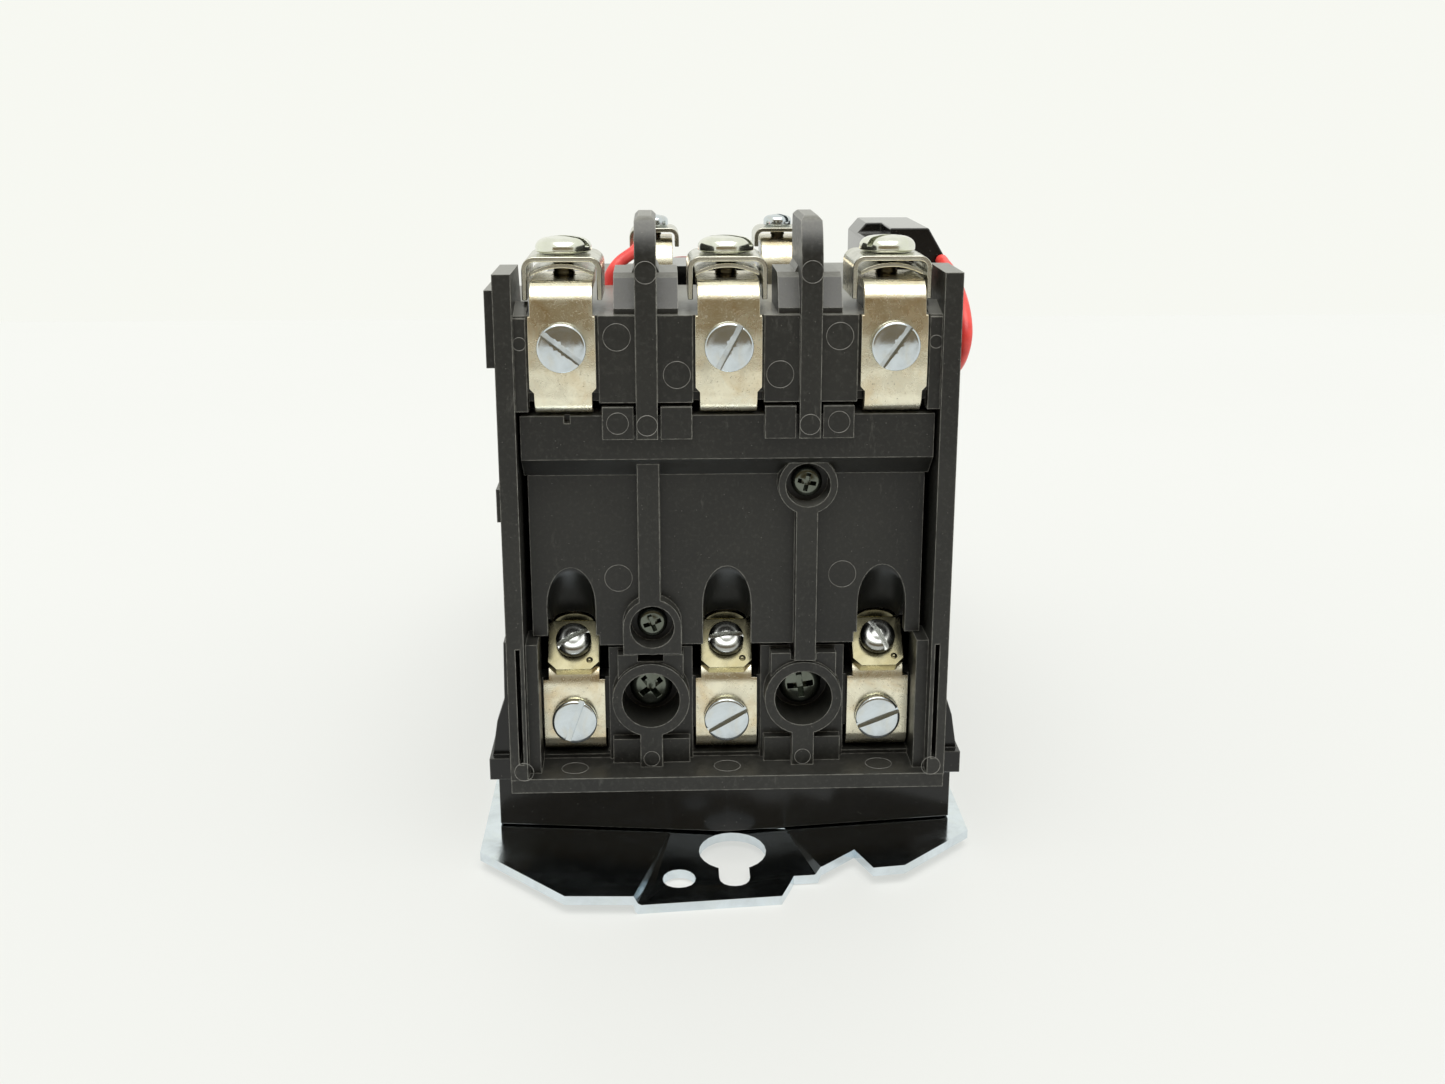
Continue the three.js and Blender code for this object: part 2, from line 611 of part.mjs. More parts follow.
function magnetCore() {
  const { halfWidth, back, yokeEnd, legEnd, bottom, top, legHalf } = MAGNET;
  const legs = [[-halfWidth, -17.6], [-legHalf, legHalf], [17.6, halfWidth]];
  return union(
    box(-halfWidth, halfWidth, back, yokeEnd, bottom, top),
    legs.map(([x0, x1]) => box(x0, x1, yokeEnd - 1, legEnd, bottom, top)),
    [-15, 15].map((x) => rod('z', 2, bottom - 0.1, top + 0.8, [x, 50], 12)),
  );
}

function coil() {
  const { halfWidth, near, far, bottom, top, blockTop } = COIL;
  const { x, y } = COIL_TERMINAL;
  const flanges = [[near, near + 1.6], [far - 1.6, far]];
  const winding = box(-halfWidth + 1.2, halfWidth - 1.2, near, far, bottom + 1.2, top - 1.2);
  const block = union(
    box(-16.5, 16.5, 55, 72, top - 4, blockTop),
    box(-16.5, 16.5, 52, 56, top + 1, 98),
    box(-3.5, 3.5, 52.6, 56, 97, blockTop),
    both((side) => box(side * x - 3.4, side * x + 3.4, 59.5, 67, blockTop - 1, COIL_TERMINAL.padZ - 0.9)),
  );
  const body = union(
    winding,
    flanges.map(([y0, y1]) => box(-halfWidth, halfWidth, y0, y1, bottom, top)),
    block,
  );
  const { legHalf, bottom: coreBottom, top: coreTop } = MAGNET;
  return cut(
    body,
    box(-legHalf - 0.4, legHalf + 0.4, 50, 80, coreBottom - 0.4, coreTop + 0.4),
    both((side) => rod('z', 1.7, 96, 112, [side * x, y], 12)),
  );
}

function coilTerminal() {
  const { y, padZ, width, thickness } = COIL_TERMINAL;
  const route = [[67, padZ], [53, padZ], [53, 98.9]];
  const strip = bentSheet(route, [5], thickness, -width / 2, width / 2);
  return cut(strip, rod('z', 1.7, padZ - 2, padZ + 2, [0, y], 12));
}

// The coil terminal screw with its captive saddle clamp, about the Z axis.
function coilTerminalScrew() {
  const clampTop = -0.1;
  const clamp = saddle(4.9, 0.8, clampTop - 3.7, clampTop, -5, 5);
  return union(screw(SCREWS.coil), clamp, rod('z', 2, clampTop - 0.2, 0.1, [0, 0], 12));
}

function coilCover() {
  const { halfWidth, near, far, wall, bottom, top } = HOUSING;
  const corner = 2.5;
  const outline = [
    [-halfWidth, bottom], [-halfWidth, top - corner], [-halfWidth + corner, top],
    [halfWidth - corner, top], [halfWidth, top - corner], [halfWidth, bottom],
  ];
  const shell = cut(
    prism('y', outline, near, far),
    box(-halfWidth + wall, halfWidth - wall, near - 1, far - wall, bottom - 1, top - wall),
  );
  return cut(
    shell,
    box(-17.2, 17.2, 51, 73, top - wall - 1, top + 1),
    rod('z', 1.7, top - 4, top + 1, [-21.5, 48], 12),
    box(halfWidth - wall - 1, halfWidth + 1, near - 1, 49.6, 79.8, 84.2),
    box(halfWidth - wall - 1, halfWidth + 1, 50, 61.5, 59, 65),
  );
}

// ---------------------------------------------------------------- auxiliary contact

function auxContactBlock() {
  const head = [[28, 98.3], [28, 109.2], [30, 111.5], [40.4, 111.5], [44.8, 104.2], [44.8, 98], [38.9, 98]];
  const top = prism('y', head, 45, 72);
  const side = box(38.9, 44.8, 50.4, 72, 56, 99);
  const slide = box(38, 43.8, 50.4 - 1, 66, 58.6, 65.4);
  const steps = box(27, 33, 44, 58, 109.6, 112);
  return cut(union(top, side), slide, steps);
}

function auxPlunger() {
  return union(box(34, 40.5, 55.6, 59.6, 60.2, 63.8), box(39.8, 43.3, 55.6, 64, 59.2, 64.8));
}

// ---------------------------------------------------------------- overload relay

function overloadHousing() {
  const { halfWidth, near, far, bottom, top, wall, ceiling } = OVERLOAD;
  const corner = 3;
  const outline = [
    [-halfWidth, bottom], [-halfWidth, top - corner], [-halfWidth + corner, top],
    [halfWidth - corner, top], [halfWidth, top - corner], [halfWidth, bottom],
  ];
  return cut(
    prism('y', outline, near, far),
    box(-halfWidth + wall, halfWidth - wall, near + wall, far - wall, bottom - 1, ceiling),
    POLES.map((x) => box(x - 10, x + 10, 118, 133, 76, top + 1)),
    POLES.map((x) => box(x - 8.5, x + 8.5, 151, far + 1, 72, top + 1)),
    rod('z', RESET.radius + 0.4, ceiling - 1, top + 1, [RESET.x, RESET.y], 20),
  );
}

function heater() {
  return union(
    rod('x', 3.2, -7.6, 7.6, [125.5, 81.4], 12),
    both((side) => box(...span(side, 5, 9.4), 120, 131, 76.4, 78)),
    both((side) => box(...span(side, 6, 7.4), 123, 128, 77, 81)),
  );
}

function resetButton() {
  const { radius, bottom, top } = RESET;
  return union(rod('z', radius, bottom, top - 1, [0, 0], 24), rod('z', radius - 0.7, top - 2, top, [0, 0], 24));
}

// ---------------------------------------------------------------- leads

function lead(points) {
  const curve = new THREE.CatmullRomCurve3(points.map((p) => new THREE.Vector3(...p)));
  return wire(curve, 1.15, 8, 20);
}

const COIL_LEAD = [
  [-14.6, 51.6, 109.4], [-15.2, 51.6, 108.4], [-16, 51.5, 106.9],
  [-19.4, 48.6, 104.6], [-21.3, 48, 101], [-21.5, 48, 93],
];
const AUX_LEAD = [
  [43, 44.6, 105.4], [43.6, 36, 103.4], [44, 26, 99], [43.9, 21.6, 94],
  [43.2, 25, 88.5], [41.8, 35, 84], [40.8, 43, 82.4], [38.6, 46.6, 82], [34.6, 47.4, 82],
];

// ---------------------------------------------------------------- the assembly

add('mounting_plate', mountingPlate(), bluishZinc());
add('base_housing', baseHousing(), moulded());
add('contact_board', contactBoard(), moulded());
add('arc_cover', arcCover(), moulded());

const SLOT_TURNS = [
  { terminal: -0.5, strap: 0.75, load: -0.5, loadStrap: -1.25 },
  { terminal: -0.3, strap: 1.05, load: -0.1, loadStrap: 0.75 },
  { terminal: 0.5, strap: -0.9, load: 1.05, loadStrap: 0.45 },
];

POLES.forEach((x, i) => {
  const n = i + 1;
  const turn = SLOT_TURNS[i];
  const slope = [x, LOAD.slopeY, LOAD.slopeZ];
  const lift = GAP * Math.SQRT1_2;
  add(`line_strap_${n}`, lineStrap(), tinned(), [x, 0, 0]);
  add(`line_pressure_plate_${n}`, linePressurePlate(), chromated(), [x, 0, 0]);
  add(`line_saddle_${n}`, lineSaddle(), chromated(), [x, 0, 0]);
  add(`line_terminal_screw_${n}`, screw(SCREWS.terminal), zincScrew(), [x, 12.5, 110.6], [0, 0, turn.terminal]);
  add(`line_strap_screw_${n}`, screw(SCREWS.strap).rotate([0, 0, THREE.MathUtils.radToDeg(turn.strap)]),
    zincScrew(), [x, -GAP, STRAP.screwZ], [FACING_LINE_END, 0, 0]);
  add(`load_strap_${n}`, loadStrap(), tinned(), [x, 0, 0]);
  add(`load_clamp_plate_${n}`, loadClamp(), chromated(), slope, [LOAD.tilt, 0, 0]);
  add(`load_terminal_screw_${n}`, screw(SCREWS.load).rotate([0, 0, THREE.MathUtils.radToDeg(turn.load)]),
    zincScrew(), [x, LOAD.slopeY - lift, LOAD.slopeZ + lift], [LOAD.tilt, 0, 0]);
  add(`load_strap_screw_${n}`, screw(SCREWS.strap).rotate([0, 0, THREE.MathUtils.radToDeg(turn.loadStrap)]),
    zincScrew(), [x, LOAD.faceY - GAP, LOAD.screwZ], [FACING_LINE_END, 0, 0]);
  add(`bridge_contact_${n}`, bridgeContact(), silver(), [x, 0, 0]);
  add(`contact_spring_${n}`, contactSpring(), springWire(), [x, 0, 62]);
  add(`heater_${n}`, heater(), tinned(), [x, 0, 0]);
});

COVER_SCREWS.forEach(({ x, z }, i) => {
  add(`cover_screw_${i + 1}`, screw(SCREWS.cover), zincScrew(), [x, 7.9, z], [FACING_LINE_END, 0, 0]);
});
RIB_X.forEach((x, i) => {
  const seat = [x, BASE_WELL.floorY - GAP, BASE_WELL.z];
  add(`base_screw_${i + 1}`, screw(SCREWS.base), zincScrew(), seat, [FACING_LINE_END, 0, 0]);
});

add('contact_carrier', contactCarrier(), glossyMoulded());
add('armature', armature(), lamination());
add('magnet_core', magnetCore(), lamination());
add('coil', coil(), glossyMoulded());
add('return_spring', coilSpring(3.2, 0.5, COIL.far + GAP, 91.7, 5), springWire(), [0, 0, 45]);
both((side) => {
  const n = side < 0 ? 1 : 2;
  const x = side * COIL_TERMINAL.x;
  add(`coil_terminal_${n}`, coilTerminal(), tinned(), [x, 0, 0]);
  add(`coil_terminal_screw_${n}`, coilTerminalScrew(), zincScrew(), [x, COIL_TERMINAL.y, COIL_TERMINAL.seatZ]);
});
add('coil_cover', coilCover(), moulded());
add('aux_contact_block', auxContactBlock(), glossyMoulded());
add('aux_plunger', auxPlunger(), glossyMoulded());
add('overload_housing', overloadHousing(), moulded());
add('reset_button', resetButton(), redInsulation(), [RESET.x, RESET.y, 0]);
add('coil_lead', lead(COIL_LEAD), redInsulation());
add('aux_lead', lead(AUX_LEAD), redInsulation());

// The origin is the centre of the footprint, on the mounting surface.
drawing.position.y = -(PLATE.near + PLATE.far) / 2;
const starter = new THREE.Group();
starter.add(drawing);

export default starter;
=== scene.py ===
"""Looks of an open three-pole magnetic motor starter, built round its fixed frame."""

import logging
import math
from dataclasses import dataclass, field
from enum import Enum
from typing import Callable, Iterable, Sequence

import bmesh
import bpy
from mathutils import Matrix, Vector

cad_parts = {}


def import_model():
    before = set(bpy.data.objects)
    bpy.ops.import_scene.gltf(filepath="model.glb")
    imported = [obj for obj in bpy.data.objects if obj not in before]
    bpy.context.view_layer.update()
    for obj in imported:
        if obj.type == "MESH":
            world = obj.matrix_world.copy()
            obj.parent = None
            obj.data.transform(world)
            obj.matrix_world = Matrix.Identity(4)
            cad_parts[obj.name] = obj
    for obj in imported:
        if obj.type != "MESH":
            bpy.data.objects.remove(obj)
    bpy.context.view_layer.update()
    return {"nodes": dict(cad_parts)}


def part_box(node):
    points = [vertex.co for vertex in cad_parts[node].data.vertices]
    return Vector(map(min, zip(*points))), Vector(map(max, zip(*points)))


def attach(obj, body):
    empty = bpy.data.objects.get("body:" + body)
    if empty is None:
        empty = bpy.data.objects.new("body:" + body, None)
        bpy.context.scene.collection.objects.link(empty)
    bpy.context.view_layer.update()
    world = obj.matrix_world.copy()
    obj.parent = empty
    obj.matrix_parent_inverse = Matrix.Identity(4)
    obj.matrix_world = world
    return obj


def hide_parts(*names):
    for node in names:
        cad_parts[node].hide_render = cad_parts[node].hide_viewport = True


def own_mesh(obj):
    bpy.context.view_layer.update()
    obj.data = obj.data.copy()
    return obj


LOG = logging.getLogger("starter")

MM = 0.001
POLES = (1, 2, 3)
TIP_INSET = 3.6  # from a bridge's end to the middle of its tip, in millimetres

Colour = tuple[float, float, float]
Pair = tuple[float, float]
Socket = bpy.types.NodeSocket

DUST: Colour = (0.35, 0.34, 0.31)
TARNISH: Colour = (0.09, 0.075, 0.06)


class Body(Enum):
    """The rigid bodies that pieces ride on."""

    FRAME = "frame"
    CARRIER = "carrier"
    BRIDGE_1 = "bridge_1"
    BRIDGE_2 = "bridge_2"
    BRIDGE_3 = "bridge_3"
    AUX_SLIDER = "aux_slider"
    RESET = "reset"


class Drive(Enum):
    """The recess cut in a screw's head."""

    SLOT = "slot"
    CROSS = "cross"


class Facing(Enum):
    """The way a screw's head faces, as the turn about X from facing up."""

    UP = 0.0
    TILTED = 45.0
    LINE_END = 90.0
    LOAD_END = -90.0


# ------------------------------------------------------------------ node trees


class NodeBench:
    """One material's node tree, with short calls for the nodes that the finishes use."""

    def __init__(self, name: str) -> None:
        """Start a material with a principled shader and its texture space in millimetres.

        Args:
            name: The material's name.
        """
        self.material = bpy.data.materials.new(name)
        self.material.use_nodes = True
        self.nodes = self.material.node_tree.nodes
        self.links = self.material.node_tree.links
        self.nodes.clear()
        self.shader = self.nodes.new("ShaderNodeBsdfPrincipled")
        output = self.nodes.new("ShaderNodeOutputMaterial")
        self.links.new(self.shader.outputs["BSDF"], output.inputs["Surface"])
        coordinates = self.nodes.new("ShaderNodeTexCoord")
        scale = self.nodes.new("ShaderNodeVectorMath")
        scale.operation = "SCALE"
        scale.inputs["Scale"].default_value = 1.0 / MM
        self.links.new(coordinates.outputs["Object"], scale.inputs[0])
        self.space = scale.outputs["Vector"]

    def feed(self, target: Socket, value: Socket | float | Sequence[float]) -> None:
        """Link a socket to an input, or set the input's own value.

        Args:
            target: The input to fill.
            value: A socket, a number or a colour.
        """
        if isinstance(value, bpy.types.NodeSocket):
            self.links.new(value, target)
        elif isinstance(value, (int, float)):
            target.default_value = value
        else:
            target.default_value = (*value, 1.0) if len(target.default_value) == 4 else tuple(value)

    def noise(self, scale: float, detail: float = 3.0, roughness: float = 0.55,
              stretch: Sequence[float] = (1.0, 1.0, 1.0), distortion: float = 0.0) -> Socket:
        """Give fractal noise over the object.

        Args:
            scale: Cells per millimetre.
            detail: Octaves.
            roughness: Weight of the finer octaves.
            stretch: Scale of each axis, for brushed or drawn surfaces.
            distortion: How far the cells are pulled about.

        Returns:
            The noise value, from 0 to 1.
        """
        mapping = self.nodes.new("ShaderNodeVectorMath")
        mapping.operation = "MULTIPLY"
        mapping.inputs[1].default_value = tuple(stretch)
        self.links.new(self.space, mapping.inputs[0])
        node = self.nodes.new("ShaderNodeTexNoise")
        node.inputs["Scale"].default_value = scale
        node.inputs["Detail"].default_value = detail
        node.inputs["Roughness"].default_value = roughness
        node.inputs["Distortion"].default_value = distortion
        self.links.new(mapping.outputs["Vector"], node.inputs["Vector"])
        return node.outputs["Fac"]

    def cells(self, scale: float) -> Socket:
        """Give the distance to the nearest random point.

        Args:
            scale: Cells per millimetre.

        Returns:
            The distance, in cells.
        """
        node = self.nodes.new("ShaderNodeTexVoronoi")
        node.inputs["Scale"].default_value = scale
        self.links.new(self.space, node.inputs["Vector"])
        return node.outputs["Distance"]

    def ramp(self, value: Socket, low: float, high: float, start: float = 0.0, end: float = 1.0) -> Socket:
        """Map a range of a value onto another, clamped and smoothed.

        Args:
            value: The value to map.
            low: Where the change starts.
            high: Where the change ends.
            start: Result at low.
            end: Result at high.

        Returns:
            The mapped value.
        """
        node = self.nodes.new("ShaderNodeMapRange")
        node.interpolation_type = "SMOOTHSTEP"
        for name, number in (("From Min", low), ("From Max", high), ("To Min", start), ("To Max", end)):
            node.inputs[name].default_value = number
        self.links.new(value, node.inputs["Value"])
        return node.outputs["Result"]

    def math(self, operation: str, first: Socket | float, second: Socket | float = 0.0) -> Socket:
        """Join two values by arithmetic.

        Args:
            operation: The Math node's operation.
            first: First value.
            second: Second value.

        Returns:
            The result.
        """
        node = self.nodes.new("ShaderNodeMath")
        node.operation = operation
        self.feed(node.inputs[0], first)
        self.feed(node.inputs[1], second)
        return node.outputs["Value"]

    def mix(self, share: Socket, first: Socket | Colour, second: Socket | Colour) -> Socket:
        """Blend two colours.

        Args:
            share: How much of the second colour shows.
            first: Colour at 0.
            second: Colour at 1.

        Returns:
            The blended colour.
        """
        node = self.nodes.new("ShaderNodeMix")
        node.data_type = "RGBA"
        self.links.new(share, node.inputs[0])
        self.feed(node.inputs[6], first)
        self.feed(node.inputs[7], second)
        return node.outputs[2]

    def edges(self, radius: float) -> Socket:
        """Mark the corners of a mesh.

        Args:
            radius: How far from an edge the mark reaches, in millimetres.

        Returns:
            1 on an edge and 0 away from it.
        """
        bevel = self.nodes.new("ShaderNodeBevel")
        bevel.samples = 4
        bevel.inputs["Radius"].default_value = radius * MM
        geometry = self.nodes.new("ShaderNodeNewGeometry")
        dot = self.nodes.new("ShaderNodeVectorMath")
        dot.operation = "DOT_PRODUCT"
        self.links.new(bevel.outputs["Normal"], dot.inputs[0])
        self.links.new(geometry.outputs["Normal"], dot.inputs[1])
        return self.ramp(dot.outputs["Value"], 0.93, 0.995, 1.0, 0.0)

    def height(self) -> Socket:
        """Give the height above the mounting surface in millimetres."""
        split = self.nodes.new("ShaderNodeSeparateXYZ")
        self.links.new(self.space, split.inputs[0])
        return split.outputs["Z"]

    def upward(self) -> Socket:
        """Give how far a surface faces up, from 0 to 1."""
        geometry = self.nodes.new("ShaderNodeNewGeometry")
        split = self.nodes.new("ShaderNodeSeparateXYZ")
        self.links.new(geometry.outputs["Normal"], split.inputs[0])
        return self.ramp(split.outputs["Z"], 0.25, 0.95)

    def bump(self, height: Socket, depth: float, strength: float = 1.0) -> None:
        """Dent the surface.

        Args:
            height: The height pattern, from 0 to 1.
            depth: Its depth in millimetres.
            strength: How much of it shows.
        """
        node = self.nodes.new("ShaderNodeBump")
        node.inputs["Strength"].default_value = strength
        node.inputs["Distance"].default_value = depth * MM
        self.links.new(height, node.inputs["Height"])
        self.links.new(node.outputs["Normal"], self.shader.inputs["Normal"])

    def set(self, **values: Socket | float | Sequence[float]) -> None:
        """Fill the shader's inputs.

        Args:
            **values: Input names with underscores for spaces, and their values.
        """
        for name, value in values.items():
            self.feed(self.shader.inputs[name.replace("_", " ")], value)


# ------------------------------------------------------------------ finishes


@dataclass(frozen=True)
class Moulding:
    """Compression-moulded thermoset: mottled, with fine grain, pale worn edges, dust specks and painted top
    light on up-facing faces.

    Attributes:
        slot: The record's material slot; not used.
        name: Material name.
        base: Main colour.
        pale: Colour of edges and scuffs; brightened, also the colour of the painted top light.
        roughness: Mean roughness.
        wear: How much of the edges is pale.
        grain: Strength of the surface grain.
        mottle: How far its colour and gloss vary over a millimetre.
    """

    slot: str
    name: str
    base: Colour
    pale: Colour
    roughness: float
    wear: float
    grain: float = 0.5
    mottle: float = 1.0

    def material(self) -> bpy.types.Material:
        """Build the material's node tree."""
        bench = NodeBench(self.name)
        broad = bench.noise(0.05, 4.0, 0.6)
        fine = bench.noise(1.3, 4.0, 0.65)
        grain = bench.noise(6.0, 2.0, 0.5)
        dark = tuple(0.72 * c for c in self.base)
        light = tuple(1.35 * c for c in self.base)
        body = bench.mix(bench.ramp(broad, 0.3, 0.7), dark, light)
        body = bench.mix(bench.ramp(fine, 0.45, 0.85, 0.0, 0.14 * self.mottle), body, self.pale)
        scuffs = bench.ramp(bench.noise(0.42, 6.0, 0.75, (1.0, 1.0, 0.3)), 0.6, 0.72, 0.0, 0.2 * self.mottle)
        body = bench.mix(scuffs, body, self.pale)
        breaks = bench.ramp(bench.noise(0.8, 3.0, 0.6), 0.32, 0.6, 0.3, 1.0)
        rubbed = bench.math("MULTIPLY", bench.edges(0.28), breaks)
        # Pale colour for rubbed edges and for the painted top light.
        wear_and_top_light_colour = tuple(min(1.0, 1.9 * c) for c in self.pale)
        body = bench.mix(bench.math("MULTIPLY", rubbed, self.wear), body, wear_and_top_light_colour)
        # Painted top light: up-facing faces are lightened, little near the base and strongly near the top,
        # standing in for overhead light and for the shade on low ledges.
        painted_top_light = bench.math("MULTIPLY", bench.upward(), bench.ramp(bench.height(), 30.0, 104.0, 0.05, 0.6))
        body = bench.mix(bench.math("MULTIPLY", painted_top_light, bench.ramp(fine, 0.3, 0.7, 0.7, 1.0)), body, wear_and_top_light_colour)
        dust = bench.ramp(bench.cells(0.8), 0.03, 0.06, 0.55, 0.0)
        body = bench.mix(dust, body, DUST)
        smoothest, roughest = self.roughness - 0.07 * self.mottle, self.roughness + 0.1 * self.mottle
        gloss = bench.ramp(fine, 0.25, 0.8, smoothest, roughest)
        gloss = bench.math("ADD", gloss, bench.math("MULTIPLY", scuffs, 0.5))
        bench.set(Base_Color=body, Roughness=gloss, IOR=1.46)
        bench.bump(bench.math("ADD", grain, bench.math("MULTIPLY", fine, 2.0)), 0.012, self.grain)
        return bench.material


@dataclass(frozen=True)
class Plating:
    """Plated sheet metal or wire: cloudy, stained, specked and slightly rough.

    Attributes:
        slot: The record's material slot; not used.
        name: Material name.
        base: Metal colour.
        stain: Colour of the warm or yellow stains.
        stain_share: How much of the surface is stained.
        specks: How strongly dark specks show.
        roughness: Mean roughness.
        grain: Depth of the surface grain in millimetres.
    """

    slot: str
    name: str
    base: Colour
    stain: Colour
    stain_share: float
    specks: float
    roughness: float
    grain: float = 0.01

    def material(self) -> bpy.types.Material:
        """Build the material's node tree."""
        bench = NodeBench(self.name)
        clouds = bench.noise(0.22, 4.0, 0.6, distortion=0.4)
        grain = bench.noise(4.5, 3.0, 0.6)
        metal = bench.mix(bench.ramp(clouds, 0.3, 0.75), self.base, tuple(0.86 * c for c in self.base))
        patches = bench.ramp(bench.noise(0.13, 5.0, 0.62, distortion=0.8), 0.42, 0.72, 0.0, self.stain_share)
        metal = bench.mix(patches, metal, self.stain)
        pits = bench.noise(2.8, 5.0, 0.8)
        specks = bench.ramp(pits, 0.6, 0.68, 0.0, self.specks)
        metal = bench.mix(specks, metal, TARNISH)
        rough = bench.ramp(clouds, 0.25, 0.8, self.roughness - 0.07, self.roughness + 0.1)
        rough = bench.math("ADD", rough, bench.math("MULTIPLY", specks, 0.3))
        bench.set(Base_Color=metal, Metallic=1.0, Roughness=rough)
        bench.bump(bench.math("SUBTRACT", grain, bench.math("MULTIPLY", specks, 0.6)), self.grain, 0.6)
        return bench.material


@dataclass(frozen=True)
class Insulation:
    """Soft plastic insulation or a moulded cap: a clear colour with slight mottling and sheen.

    Attributes:
        slot: The record's material slot; not used.
        name: Material name.
        base: Main colour.
        deep: Colour in the darker patches.
        roughness: Mean roughness.
    """

    slot: str
    name: str
    base: Colour
    deep: Colour
    roughness: float

    def material(self) -> bpy.types.Material:
        """Build the material's node tree."""
        bench = NodeBench(self.name)
        clouds = bench.noise(0.35, 3.0, 0.5)
        fine = bench.noise(3.0, 3.0, 0.6)
        body = bench.mix(bench.ramp(clouds, 0.35, 0.7), self.base, self.deep)
        smudge = bench.ramp(bench.noise(1.1, 4.0, 0.7), 0.62, 0.78, 0.0, 0.35)
        body = bench.mix(smudge, body, tuple(0.55 * c for c in self.deep))
        gloss = bench.ramp(fine, 0.3, 0.7, self.roughness - 0.06, self.roughness + 0.08)
        bench.set(Base_Color=body, Roughness=gloss, Subsurface_Weight=0.05,
                  Subsurface_Radius=(0.001, 0.0004, 0.0003))
        bench.bump(fine, 0.02, 0.4)
        return bench.material


@dataclass(frozen=True)
class Laminations:
    """Stacked electrical steel: thin plates on edge, with the edges slightly rusted.

    Attributes:
        slot: The record's material slot; not used.
        name: Material name.
        pitch: Thickness of one plate in millimetres.
    """

    slot: str
    name: str
    pitch: float = 0.65

    def material(self) -> bpy.types.Material:
        """Build the material's node tree."""
        bench = NodeBench(self.name)
        phase = bench.math("MULTIPLY", bench.height(), 2.0 * math.pi / self.pitch)
        lines = bench.math("SINE", phase)
        seams = bench.ramp(lines, 0.86, 1.0)
        fine = bench.noise(1.8, 4.0, 0.7)
        steel = bench.mix(bench.ramp(fine, 0.3, 0.75), (0.33, 0.33, 0.33), (0.21, 0.2, 0.19))
        rust = bench.ramp(bench.noise(0.5, 5.0, 0.7), 0.6, 0.75, 0.0, 0.7)
        steel = bench.mix(rust, steel, (0.2, 0.1, 0.05))
        steel = bench.mix(seams, steel, (0.03, 0.03, 0.03))
        bench.set(Base_Color=steel, Metallic=0.9, Roughness=bench.ramp(fine, 0.2, 0.8, 0.35, 0.6))
        bench.bump(bench.math("SUBTRACT", fine, seams), 0.05, 0.7)
        return bench.material


